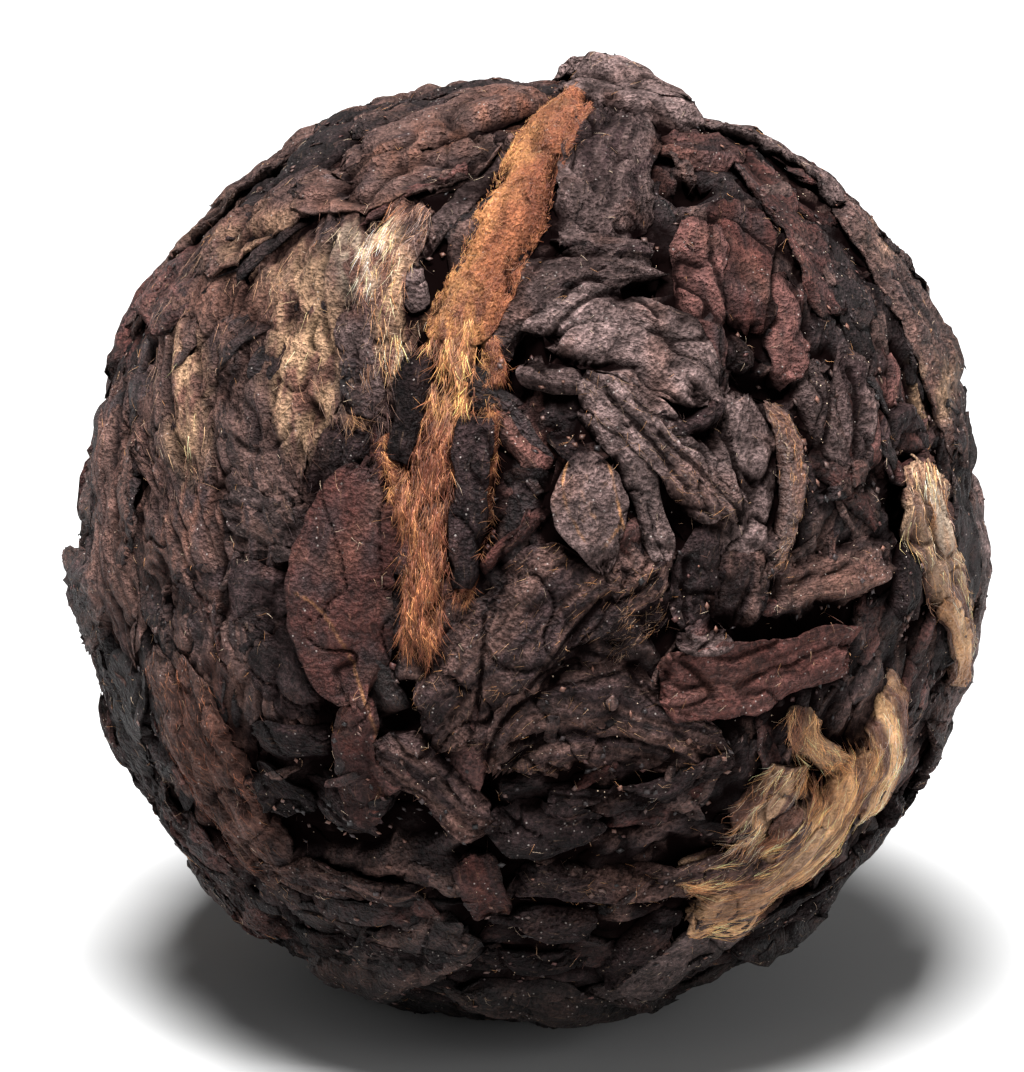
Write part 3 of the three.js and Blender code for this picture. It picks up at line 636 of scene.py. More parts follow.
def layered_noise(points, octaves, seed=0):
    """Gradient noise added to itself at double the frequency and half the height, as often as asked."""
    return sum(gradient_noise(points * 2**k, seed + k) / 2**k for k in range(octaves))


def smooth_step(low, high, values):
    """0 below low, 1 above high, and a cubic between."""
    share = np.clip((values - low) / (high - low), 0, 1)
    return share * share * (3 - 2 * share)


def blurred(values, passes):
    """A grid with every point moved to the mean of itself and its neighbours, a few times over."""
    for _ in range(passes):
        padded = np.pad(values, ((1, 1), (0, 0)), mode="edge")
        values = (padded[:-2] + 2 * padded[1:-1] + padded[2:]) / 4
        padded = np.pad(values, ((0, 0), (1, 1)), mode="edge")
        values = (padded[:, :-2] + 2 * padded[:, 1:-1] + padded[:, 2:]) / 4
    return values


def unit(vectors):
    """Vectors scaled to length one."""
    return vectors / np.linalg.norm(vectors, axis=-1, keepdims=True)


def folded_directions(size):
    """Directions on a square grid that folds round the whole ball: its middle faces the viewer, its diamond
    is the front half, and its four corners meet at the back."""
    line = np.linspace(-1, 1, size)
    across, up = np.meshgrid(line, line, indexing="ij")
    front = 1 - abs(across) - abs(up)
    sign_across, sign_up = np.where(across < 0, -1, 1), np.where(up < 0, -1, 1)
    right = np.where(front < 0, (1 - abs(up)) * sign_across, across)
    above = np.where(front < 0, (1 - abs(across)) * sign_up, up)
    return unit(np.stack([right, above, front], -1)) @ SHOW_FRAME


class Press:
    """The ball that leaves are pressed on: its mean surface, and the height of what lies uppermost on it."""

    SIZE = 900
    COARSE = 3
    FLOOR_GAP = 0.01

    def __init__(self, sizes):
        self.half_width = sizes.width / MM / 2
        self.half_height = sizes.height / MM / 2
        self.centre = np.array([0, 0, self.half_height - sizes.foot_press / MM])
        self.show_half_height = math.hypot(
            self.half_height * math.cos(SHOW_TILT), self.half_width * math.sin(SHOW_TILT)
        )
        self.heights = np.zeros((self.SIZE, self.SIZE))
        self.kept_clear = np.zeros((self.SIZE, self.SIZE), bool)

    def mean_radius(self, directions):
        """The ellipsoid's distance from its centre along each direction."""
        flat = (directions[..., 0] ** 2 + directions[..., 1] ** 2) / self.half_width**2
        return 1 / np.sqrt(flat + directions[..., 2] ** 2 / self.half_height**2)

    def points(self, directions, heights):
        """Points this far over the mean surface, held on or above the floor."""
        placed = self.centre + directions * (self.mean_radius(directions) + heights)[..., None]
        placed[..., 2] = np.maximum(placed[..., 2], self.FLOOR_GAP)
        return placed

    def show_points(self, spots):
        """Points of the mean surface, from the centre, that are seen at millimetres right and up of the
        outline's middle: where the lines of sight first meet the ellipsoid, or pass nearest to it."""
        half = np.array([self.half_width, self.show_half_height, self.half_width])
        eye = np.array([0, 0, EYE_DISTANCE]) / half
        spots = (np.array(spots) + [0, SIGHT_MIDDLE]) * SIGHT_SCALE
        sight = np.pad(spots, ((0, 0), (0, 1))) / half - eye
        steep, lean = (sight**2).sum(-1), sight @ eye
        reach = -lean - np.sqrt(np.maximum(lean**2 - steep * (eye @ eye - 1), 0))
        directions = unit((eye + sight * (reach / steep)[:, None]) * half @ SHOW_FRAME)
        return directions * self.mean_radius(directions)[:, None]

    def around_points(self, middle, ahead, length):
        """Start, middle and end, from the centre, of a leaf with its middle in this direction."""
        turn = np.array([-1, 0, 1])[:, None] * length / 2 / self.half_width
        directions = middle * np.cos(turn) + ahead * np.sin(turn)
        return directions * self.mean_radius(directions)[:, None]

    def cells(self, directions):
        """Row and column of the folded square under each direction."""
        right, up, front = np.moveaxis(directions @ SHOW_FRAME.T, -1, 0)
        total = abs(right) + abs(up) + abs(front)
        right, up = right / total, up / total
        behind = front < 0
        row = np.where(behind, (1 - abs(up)) * np.where(right < 0, -1, 1), right)
        column = np.where(behind, (1 - abs(right)) * np.where(up < 0, -1, 1), up)
        scale = (self.SIZE - 1) / 2
        return np.rint((row + 1) * scale).astype(int), np.rint((column + 1) * scale).astype(int)

    def bulge(self, directions):
        """The ball's broad bulges and dents, in millimetres: each fades with the angle from its middle."""
        height = np.zeros(directions.shape[:-1])
        for place, reach, most in BULGES:
            angle = np.arccos(np.clip(directions @ (unit(np.array(place)) @ SHOW_FRAME), -1, 1))
            height = height + most * (1 - smooth_step(0, reach, angle))
        return height

    def swell(self, directions):
        """Slow unevenness of the whole ball, in millimetres: its bulges and two noises."""
        slow = gradient_noise(directions * 3.2 + 40)
        quick = gradient_noise(directions * 7.5 + 80)
        return self.bulge(directions) + 0.16 * slow + 0.08 * quick

    def warped(self, directions):
        """Directions pushed a little sideways by noise, so that no edge stays straight."""
        offsets = (0, 17, 43)
        coarse = np.stack([gradient_noise(directions * 10 + offset) for offset in offsets], -1)
        fine = np.stack([gradient_noise(directions * 32 + offset) for offset in offsets], -1)
        return unit(directions + 0.011 * coarse + 0.004 * fine)

    def seen(self, directions):
        """Millimetres right and up of the outline's middle at which points of the mean surface are seen, and
        how far towards the viewer they lie."""
        offsets = directions * self.mean_radius(directions)[..., None]
        right, up, front = np.moveaxis(offsets @ SHOW_FRAME.T, -1, 0)
        scale = EYE_DISTANCE / (EYE_DISTANCE - front) / SIGHT_SCALE
        return np.stack([right * scale, up * scale - SIGHT_MIDDLE, front], -1)

    def hollow(self, directions):
        """How deep the hollows of the show side are, as a share: ovals with soft rims."""
        right, up, front = np.moveaxis(self.seen(directions), -1, 0)
        deepest = np.zeros_like(right)
        for (x, y), (reach_x, reach_y) in HOLLOWS:
            far = ((right - x) / reach_x) ** 2 + ((up - y) / reach_y) ** 2
            deepest = np.maximum(deepest, (1 - smooth_step(0.5, 1.6, far)) * (front > 0))
        return deepest

    def smooth_heights(self):
        """The map of heights, averaged over about half a millimetre around each cell."""
        cells = self.SIZE // self.COARSE
        coarse = self.heights.reshape(cells, self.COARSE, cells, self.COARSE).mean((1, 3))
        return blurred(coarse, 24)

    def height_under(self, directions):
        """Height of what lies uppermost in each direction."""
        return self.heights[self.cells(directions)]

    def around(self, directions):
        """Row and column of each direction's cell, and then of its eight neighbours."""
        row, column = self.cells(directions)
        for step_row, step_column in itertools.product((-1, 0, 1), repeat=2):
            yield np.clip(row + step_row, 0, self.SIZE - 1), np.clip(column + step_column, 0, self.SIZE - 1)

    def lay(self, directions, heights):
        """Raises the map to these heights, and a cell's neighbours with it so that no pinholes are left."""
        for at in self.around(directions):
            np.maximum.at(self.heights, at, heights)

    def keep_clear(self, directions):
        """Marks these directions as ones where no scrap or grain may lie."""
        for at in self.around(directions):
            self.kept_clear[at] = True


@dataclass
class Patch:
    """A closed mesh with a colour, a relief share that sets the painted shade of valleys, and a place along
    and across the leaf at each point.
    """

    points: np.ndarray
    quads: np.ndarray
    triangles: np.ndarray
    colour: np.ndarray
    relief: np.ndarray
    grain: np.ndarray
    tops: np.ndarray = None
    ahead: np.ndarray = None
    heights: np.ndarray = None
    tone: np.ndarray = None


def turned(middle, angle):
    """The direction along the ball at this angle from east, at a place given by its own direction."""
    east = unit(np.cross([0, 1, 0], middle))
    return east * math.cos(angle) + np.cross(middle, east) * math.sin(angle)


def flowing(middle, turn):
    """The direction in which leaves lie at a place, turned by an angle: upright on the show side's left and
    middle, and level at its foot and its top."""
    up = middle @ SHOW_UP
    level = float(smooth_step(0.35, 0.65, -up) + 0.7 * smooth_step(0.55, 0.8, up))
    lean = SHOW_UP * (1 - level) + SHOW_RIGHT * level
    ahead = unit(lean - middle * (lean @ middle) + 1e-6)
    return ahead * math.cos(turn) + np.cross(middle, ahead) * math.sin(turn)


def ring_faces(rings, around):
    """Quads between neighbouring closed rings and fans to a pole at each end. The points run first pole,
    rings, last pole."""
    here = np.arange(around)
    beside = (here + 1) % around
    start = 1 + np.arange(rings - 1)[:, None] * around
    quads = np.stack([start + here, start + around + here, start + around + beside, start + beside], -1)
    final = 1 + (rings - 1) * around
    pole = np.full(around, final + around)
    first_fan = np.stack([np.zeros(around, int), 1 + here, 1 + beside], -1)
    last_fan = np.stack([final + here, pole, final + beside], -1)
    return quads.reshape(-1, 4), np.concatenate([first_fan, last_fan])


def path_point(path, along):
    """The curve through three points at 0, one half and 1, with its slope."""
    along = along[..., None]
    start, middle, end = path
    point = start * (1 - along) * (1 - 2 * along) + middle * 4 * along * (1 - along)
    point = point + end * along * (2 * along - 1)
    slope = start * (4 * along - 3) + middle * (4 - 8 * along) + end * (4 * along - 1)
    return point, slope


def fold(noise):
    """Rounded swells with sharp valleys between them, from 0 to 1: the noise's size, steep near zero."""
    return np.minimum(abs(noise) * 2.2, 1) ** 0.65


def mixed(first, second, share):
    """Colours between two, by a share at each point."""
    return np.asarray(first) * (1 - share[..., None]) + np.asarray(second) * share[..., None]


def curve_gap(press, directions, curves):
    """Distance, as seen, from each point to the nearest of some curves: each curve is cut into short straight
    stretches, and a point's distance to a stretch is taken square to it or to its nearer end."""
    points = np.array([path_point(np.array(curve), np.linspace(0, 1, 9))[0] for curve in curves])
    starts, steps = points[:, :-1].reshape(-1, 2), np.diff(points, axis=1).reshape(-1, 2)
    seen = press.seen(directions)
    offset = seen[..., None, :2] - starts
    share = np.clip((offset * steps).sum(-1) / (steps**2).sum(-1), 0, 1)
    gap = np.linalg.norm(offset - share[..., None] * steps, axis=-1).min(-1)
    return np.where(seen[..., 2] > 0, gap, np.inf)


def stained(press, directions, colour, colours):
    """Colours with the soft stains worked in: each is an oval that fades out in upright streaks."""
    right, up, front = np.moveaxis(press.seen(directions), -1, 0)
    streaks = gradient_noise(np.stack([right * 2.2, up * 0.4, front * 1.2], -1))
    fine = gradient_noise(np.stack([right * 6, up * 0.9, front * 3.5], -1) + 60)
    for (x, y), (reach_x, reach_y), name, strength in STAINS:
        far = ((right - x) / reach_x) ** 2 + ((up - y) / reach_y) ** 2 - 0.7 * streaks - 0.4 * fine
        share = strength * (1 - smooth_step(-0.7, 1.9, far)) * (front > 0)
        tone = mixed(getattr(colours, name), colours.warm, smooth_step(-0.4, 0.5, fine - streaks))
        colour = colour * (1 - share[..., None]) + tone * share[..., None]
    return colour


@dataclass
class Layout:
    """A leaf before it has heights: the directions of its points, their places along and aside in
    millimetres, a slow noise there, the leaf's own place in the noises, where its points lie across it from
    -1 to 1, and how far from its ends they are."""

    directions: np.ndarray
    grid: np.ndarray
    warp: np.ndarray
    shift: np.ndarray
    across: np.ndarray
    end_gap: np.ndarray

    def noise(self, along, across, offset, sway):
        """Noise with its own frequency along and across the leaf, pushed sideways by the slow one."""
        return gradient_noise(self.grid * [along, across, 1] + [0, 0, offset] + self.warp * [0, sway, 0])


def leaf_relief(press, layout, look, creases):
    """A leaf's folds, as the height that they add in millimetres and as a share, low in valleys, cracks and
    pits, that sets the shade painted there.

    Crumples, pleats along the leaf and finer wrinkles are folded noises, each with its own frequencies.
    Cracks lie where a noise crosses zero, and along the creases. Gnarls and pits are layered noises.
    """
    grid, shift = layout.grid, layout.shift
    crumple = gradient_noise(grid * 0.45 + shift + 31) + 0.35 * gradient_noise(grid * 1.2 + shift + 47)
    pleat = layout.noise(0.22, 1.2, shift[2], 0.9)
    wrinkle = layout.noise(0.9, 3.4, shift[1], 1.6)
    relief = look.crumple * fold(crumple) + look.pleat * fold(pleat) + look.wrinkle * fold(wrinkle)
    deepest = look.crumple + look.pleat + look.wrinkle
    cracked = abs(gradient_noise(grid * [0.4, 0.75, 1] + shift + 91 + layout.warp * 0.5))
    crack = 1 - smooth_step(0.0, 0.05, cracked)
    if creases:
        creased = 1 - smooth_step(0.03, 0.13, curve_gap(press, layout.directions, creases))
        crack = np.maximum(crack, creased)
    gnarl = layered_noise(grid * [2.9, 3.6, 1] + shift + 7, 2)
    hole = smooth_step(0.4, 0.6, layered_noise(grid * [0.6, 1.1, 1] + shift + 53, 2))
    texture = relief - deepest * 0.7 + look.gnarl * gnarl - CRACK_DEPTH * crack - look.pits * hole
    # The share that sets the painted shade: low in valleys, cracks and pits.
    raised = relief / deepest + 0.25 * gnarl - 0.9 * crack - hole * (look.pits > 0)
    return texture, raised


def leaf_colour(press, layout, look, colours, tint, veins):
    """The colour of each point of a leaf.

    Its two colours are mixed in streaks along it and in spots. Warm patches, a side that goes over to another
    colour partly as painted light, warm edges, light veins and stains come on top, and all but the tips get
    painted shade towards the foot.
    """
    grid, shift, directions = layout.grid, layout.shift, layout.directions
    streaks = layout.noise(0.25, 2.6, shift[0], 0.8) + 0.7 * layout.noise(0.35, 7.0, shift[2], 1.6)
    mottle = layered_noise(grid * 0.9 + shift + 77, 3)
    share = smooth_step(-0.4, 0.7, look.streak * streaks * 1.6 + (1 - look.streak) * mottle)
    colour = mixed(getattr(colours, look.colour), getattr(colours, look.second), share)
    warm = look.warmth * smooth_step(0.1, 0.7, layered_noise(grid * 0.7 + shift + 113, 2))
    colour = mixed(colour, colours.warm, warm) * tint
    # The flank is partly the bud's own golden side and partly painted light on that side.
    if look.flank:
        flank = 0.7 * smooth_step(-0.3, 0.9, layout.across + 0.6 * mottle)
        colour = mixed(colour, getattr(colours, look.flank), flank)
    edge = smooth_step(0.5, 1.0, abs(layout.across)[None, :])
    fringe = np.maximum(edge, 1 - smooth_step(0.0, 0.8, layout.end_gap))
    colour = mixed(colour, colours.warm, look.fringe * fringe * smooth_step(-0.6, 0.4, mottle))
    if veins:
        strength, curves = veins
        line = 1 - smooth_step(0.015, 0.045, curve_gap(press, directions, curves))
        colour = mixed(colour, colours.amber, strength * line * smooth_step(-0.7, 0.1, mottle))
    if look.piece in ("matted_leaves", "rust_buds", "golden_tips"):
        colour = stained(press, directions, colour, colours)
    # Painted shade: all but the tips are darker towards the foot.
    if look.piece != "golden_tips":
        colour = colour * (0.3 + 0.7 * smooth_step(-0.9, -0.3, directions[..., 2]))[..., None]
    return colour


def lay_leaf(press, path, width, lift, form, look, colours, step, rng, creases=(), veins=()):
    """Presses one leaf on the ball and returns its patch.

    Its outline is a superellipse along the path, with uneven edges and torn ends. Its height is the larger
    of its own crown and the blurred height of what lies under it, up to a ceiling, with its folds added. Its
    edges curl, and stretches of them and the ends are pushed down on what lies there. Its underside lies one
    thickness lower, and deeper under its middle where the leaf stands clear of what lies under it.
    """
    squareness, narrowing = FORMS[form]
    length = np.linalg.norm(np.diff(path, axis=0), axis=1).sum()
    rows = max(7, int(length / step))
    columns = max(5, int(width / step))
    under_columns = max(3, columns // 5)
    shift = rng.uniform(0, 500, 3)

    share = np.linspace(0, 1, rows + 2)[1:-1]
    share = 0.6 * share + 0.2 * (1 - np.cos(np.pi * share))
    line = np.linspace(-1, 1, columns)
    top = 0.7 * line + 0.3 * np.sin(line * np.pi / 2)
    under = np.linspace(0.94, -0.94, under_columns)
    across = np.concatenate([top, under])

    def edge_noise(values, offset):
        level = np.full_like(values, shift[1] + offset)
        spots = np.stack([values * 0.5 + shift[0], level, np.full_like(values, 0.5)], -1)
        return gradient_noise(spots) + 0.5 * gradient_noise(spots * 2.7) + 0.25 * gradient_noise(spots * 7.1)

    fullness = (1 - abs(2 * share - 1) ** squareness) ** (1 / squareness)
    half = width / 2 * fullness * (1 - narrowing * share)
    left = half * (1 + look.ragged * edge_noise(share * length, 0))
    right = half * (1 + look.ragged * edge_noise(share * length, 7))
    sideways = np.where(across < 0, across * left[:, None], across * right[:, None])
    frayed = edge_noise(across * width * 1.5, 19)[None, :]
    torn = TORN * look.ragged * width * frayed * (2 * share[:, None] - 1) ** 5
    along = share[:, None] + torn / length

    spot, slope = path_point(path, along)
    aside = unit(np.cross(spot, slope))
    directions = press.warped(unit(spot + aside * sideways[..., None]))
    run = along * length
    end_gap = np.minimum(share, 1 - share)[:, None] * length
    grid = np.stack([run, sideways, np.zeros_like(run)], -1)
    warp = gradient_noise(grid * 0.6 + shift)[..., None]
    layout = Layout(directions, grid, warp, shift, across, end_gap)
    texture, raised = leaf_relief(press, layout, look, creases)

    rim = abs(across)[None, :]
    sides = np.broadcast_to(np.sign(across) * 3, run.shape)
    bound = gradient_noise(np.stack([run * 0.45, sides, np.zeros_like(run)], -1) + shift)
    bound = smooth_step(-0.15, 0.25, bound + look.meld)
    wave = WAVE_HEIGHT * np.sin(run / WAVE_LENGTH * 2 * np.pi + width * 5)
    roll, curl = rng.normal(0, 0.13), rng.normal(0.02, 0.10)
    bent = lift + wave + roll * across + curl * rim**3 - look.dome * rim**2
    own = bent + texture + press.swell(directions)
    topmost = slice(0, columns)
    below = press.height_under(directions[:, topmost])
    draped = blurred(below, max(2, columns // 5)) + DRAPE + texture[:, topmost] * 0.6
    height = SOFTNESS * np.logaddexp(own[:, topmost] / SOFTNESS, draped / SOFTNESS)
    ceiling = lift + HEADROOM + 0.5 * texture[:, topmost] + press.bulge(directions[:, topmost])
    height = -SOFTNESS * np.logaddexp(-height / SOFTNESS, -ceiling / SOFTNESS)

    skirt = smooth_step(0.5, 1.0, rim) * (0.1 + 0.9 * bound)
    tuck = np.maximum(skirt[:, topmost], (1 - smooth_step(0.0, 0.5, end_gap)) * rng.uniform(0.2, 1.0))
    pressed = np.minimum(height, np.maximum(below + CLEARANCE, height - EDGE_FALL))
    height = height + (pressed - height) * tuck
    press.lay(directions[:, topmost], height)

    nearest = np.clip(np.searchsorted(top, under), 1, columns - 2)
    gap = np.clip(height - below, look.thickness, FILL_DEPTH)[:, nearest] - look.thickness
    thick = look.thickness + gap * (1 - abs(under) ** 3)
    low = height[:, nearest] - thick * np.minimum(1, 0.3 + fullness[:, None])
    points = press.points(directions, np.concatenate([height, low], axis=1))

    colour = leaf_colour(press, layout, look, colours, rng.uniform(0.8, 1.2), veins)
    # Painted shade along the rims that stand clear of what lies under them.
    raised = raised - 0.3 * smooth_step(0.8, 1.0, rim) * (1 - bound)
    raised = 1 - look.valley * (1 - np.clip(raised, 0, 1))
    # The leaf's colour against its mean, darkened by the painted valley shade; the strands on the leaf take
    # it.
    tone = colour / colour.mean((0, 1)) * (0.3 + 0.9 * raised)[..., None]
    around = len(across)

    def with_poles(values):
        flat = values.reshape(rows * around, -1)
        return np.concatenate([flat[:around].mean(0)[None], flat, flat[-around:].mean(0)[None]])

    return Patch(
        with_poles(points),
        *ring_faces(rows, around),
        with_poles(colour),
        with_poles(raised)[:, 0],
        with_poles(np.stack([run + shift[0], sideways + shift[1]], -1)),
        directions[:, topmost].reshape(-1, 3),
        unit(slope)[:, topmost].reshape(-1, 3),
        height.ravel(),
        tone[:, topmost].reshape(-1, 3),
    )


def piece_from(name, patches, finish):
    """One object from patches, riding on the ball: their points, faces, colours, relief and grain joined."""
    offsets = np.cumsum([0] + [len(patch.points) for patch in patches])
    points = np.concatenate([patch.points for patch in patches]) * MM
    quads = np.concatenate([patch.quads + offset for patch, offset in zip(patches, offsets)])
    triangles = np.concatenate([patch.triangles + offset for patch, offset in zip(patches, offsets)])
    corners = np.concatenate([quads.ravel(), triangles.ravel()]).astype(np.int32)
    starts = np.concatenate([np.arange(len(quads)) * 4, quads.size + np.arange(len(triangles)) * 3])

    mesh = bpy.data.meshes.new(name)
    mesh.vertices.add(len(points))
    mesh.vertices.foreach_set("co", points.astype(np.float32).ravel())
    mesh.loops.add(len(corners))
    mesh.loops.foreach_set("vertex_index", corners)
    mesh.polygons.add(len(starts))
    mesh.polygons.foreach_set("loop_start", starts.astype(np.int32))
    mesh.update(calc_edges=True)
    mesh.polygons.foreach_set("use_smooth", np.ones(len(starts), bool))

    colour = np.concatenate([patch.colour for patch in patches])
    colour = np.column_stack([colour, np.ones(len(colour))]).astype(np.float32)
    mesh.attributes.new("leaf_colour", "FLOAT_COLOR", "POINT").data.foreach_set("color", colour.ravel())
    relief = np.concatenate([patch.relief for patch in patches]).astype(np.float32)
    mesh.attributes.new("relief", "FLOAT", "POINT").data.foreach_set("value", relief)
    grain = np.concatenate([patch.grain for patch in patches])[corners].astype(np.float32)
    mesh.uv_layers.new(name="grain").data.foreach_set("uv", grain.ravel())

    mesh.materials.append(finish)
    piece = bpy.data.objects.new(name, mesh)
    bpy.context.scene.collection.objects.link(piece)
    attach(piece, BODY)
    Making.pieces.append(piece)
    return piece


class Wire:
    """A socket that carries one number over a surface. Arithmetic on it adds Math nodes."""

    def __init__(self, finish, socket):
        self.finish = finish
        self.socket = socket

    def _math(self, operation, first, second):
        return self.finish.wire("ShaderNodeMath", {"operation": operation}, {0: first, 1: second})

    def __add__(self, other):
        return self._math("ADD", self, other)

    def __sub__(self, other):
        return self._math("SUBTRACT", self, other)

    def __rsub__(self, other):
        return self._math("SUBTRACT", other, self)

    def __mul__(self, other):
        return self._math("MULTIPLY", self, other)

    __radd__ = __add__
    __rmul__ = __mul__

    def step(self, low, high):
        """0 below low, 1 above high, and smooth between."""
        sockets = {"Value": self, "From Min": low, "From Max": high}
        return self.finish.wire("ShaderNodeMapRange", {"interpolation_type": "SMOOTHSTEP"}, sockets)


class Finish:
    """A material in the making, with its Principled shader."""

    def __init__(self, name):
        self.material = bpy.data.materials.new(name)
        self.material.use_nodes = True
        self.tree = self.material.node_tree
        self.shader = self.tree.nodes["Principled BSDF"]

    def add(self, kind, settings, sockets):
        """A node of this kind, with its settings set first and then its sockets filled or linked."""
        node = self.tree.nodes.new(kind)
        for name, value in settings.items():
            setattr(node, name, value)
        self.fill(node, sockets)
        return node

    def fill(self, node, sockets):
        """Sets or links sockets of a node, named or numbered."""
        for key, value in sockets.items():
            socket = node.inputs[key]
            if isinstance(value, Wire):
                value = value.socket
            if isinstance(value, bpy.types.NodeSocket):
                self.tree.links.new(value, socket)
            else:
                socket.default_value = value

    def wire(self, kind, settings, sockets, output=0):
        """A new node's output as a number that takes part in arithmetic."""
        return Wire(self, self.add(kind, settings, sockets).outputs[output])

    def mixed(self, share, first, second):
        """Two colours mixed by a share."""
        node = self.add("ShaderNodeMix", {"data_type": "RGBA"}, {0: share, 6: first, 7: second})
        return node.outputs[2]

    def scaled(self, vector, factors):
        """A vector multiplied along its axes, or a colour by one number."""
        operation, key = ("SCALE", "Scale") if isinstance(factors, Wire) else ("MULTIPLY", 1)
        node = self.add("ShaderNodeVectorMath", {"operation": operation}, {0: vector, key: factors})
        return node.outputs[0]

    def noise(self, vector, scale, detail):
        """Layered noise from 0 to 1."""
        return self.wire("ShaderNodeTexNoise", {}, {"Vector": vector, "Scale": scale, "Detail": detail})


@cache
def leaf_finish(name, fibre_colour, fibre_share, roughness, specular, grainy):
    """Dry leaf: the colour of each point, with painted shade in the valleys, mottled and finely grained, with
    fibres along the grain and specks of dust. Crevices between leaves and creases in them go over to plain
    black as painted shade."""
    finish = Finish(name)

    def uneven(noise, low, high, strength):
        return 1 + (noise.step(low, high) - 0.5) * (strength * grainy)

    place = finish.add("ShaderNodeTexCoord", {}, {}).outputs["Object"]
    grain = finish.add("ShaderNodeUVMap", {"uv_map": "grain"}, {}).outputs[0]
    colour = finish.add("ShaderNodeAttribute", {"attribute_name": "leaf_colour"}, {}).outputs["Color"]
    relief = finish.wire("ShaderNodeAttribute", {"attribute_name": "relief"}, {}, "Fac")
    exposure = finish.wire("ShaderNodeAttribute", {"attribute_name": "exposure"}, {}, "Fac")

    threads = finish.noise(finish.scaled(grain, (1.3, 18.0, 1.0)), 1.0, 3.0)
    mottle = finish.noise(place, MOTTLE_SCALE, 5.0)
    knobs = finish.noise(place, KNOB_SCALE, 3.0)
    velvet = finish.noise(place, VELVET_SCALE, 4.0)
    speck = finish.wire("ShaderNodeTexVoronoi", {}, {"Vector": place, "Scale": SPECK_SCALE})
    dusty = (1 - speck.step(0.06, 0.17)) * mottle.step(0.42, 0.58) * exposure.step(0.4, 0.6)

    # The relief share paints shade into the valleys, cracks and pits.
    shade = (0.2 + relief) * (0.8 + threads * 0.4) * uneven(mottle, 0.3, 0.7, 0.6)
    shade = shade * uneven(knobs, 0.32, 0.68, 0.8) * uneven(velvet, 0.32, 0.68, 1.0)
    body = finish.scaled(colour, shade)
    strands = threads.step(0.58, 0.72) * velvet.step(0.4, 0.6) * exposure.step(0.3, 0.6) * fibre_share
    body = finish.mixed(strands, body, (*fibre_colour, 1))
    body = finish.mixed(dusty * 0.8, body, DUST_TONE)

    swell = threads * 0.4 + velvet * 1.6 + knobs * 1.2 + mottle * 0.7
    bump = finish.add("ShaderNodeBump", {}, {"Strength": 1.0, "Distance": GRAIN_DEPTH, "Height": swell})
    finish.fill(
        finish.shader,
        {
            "Base Color": body,
            "Roughness": roughness - 0.15 + velvet * 0.3,
            "Normal": bump.outputs[0],
            "Specular IOR Level": specular,
        },
    )
    # Painted shade: where a point lies low among its neighbours, or in a crease or valley, the leaf goes over
    # to a plain black diffuse shader.
    black = finish.add("ShaderNodeBsdfDiffuse", {}, {"Color": PAINTED_CREVICE_SHADE})
    leaf = finish.shader.outputs[0]
    lit = exposure.step(0.15, 0.55) * relief.step(0.1, 0.34)
    both = finish.add("ShaderNodeMixShader", {}, {0: lit, 1: black.outputs[0], 2: leaf})
    finish.fill(finish.tree.nodes["Material Output"], {"Surface": both.outputs[0]})
    return finish.material


def leaf_piece(name, patches):
    """A piece of leaf from patches, with its finish from the table."""
    material, slot, *settings = FINISHES[name]
    return piece_from(name, patches, leaf_finish(material, *settings))


def hair_finish(name):
    """Dry hairs: the colour of each point, hardly changed along the hair."""
    finish = Finish(name)
    place = finish.add("ShaderNodeTexCoord", {}, {}).outputs["Object"]
    colour = finish.add("ShaderNodeAttribute", {"attribute_name": "leaf_colour"}, {}).outputs["Color"]
    shade = 0.65 + finish.noise(place, 1500.0, 2.0) * 0.7
    finish.fill(
        finish.shader,
        {"Base Color": finish.scaled(colour, shade), "Roughness": 0.5, "Specular IOR Level": 0.4},
    )
    return finish.material


def spiral_directions(count):
    """Directions spread evenly over the ball: a golden spiral from the top pole to the bottom one."""
    index = np.arange(count)
    height = 1 - (2 * index + 1) / count
    turn = 2 * np.pi * GOLDEN * index
    flat = np.sqrt(1 - height**2)
    return np.stack([flat * np.cos(turn), flat * np.sin(turn), height], -1)


def between(low, high, step, stride):
    """A value between low and high that jumps about evenly from one step to the next."""
    return low + (high - low) * ((step * GOLDEN * stride) % 1)


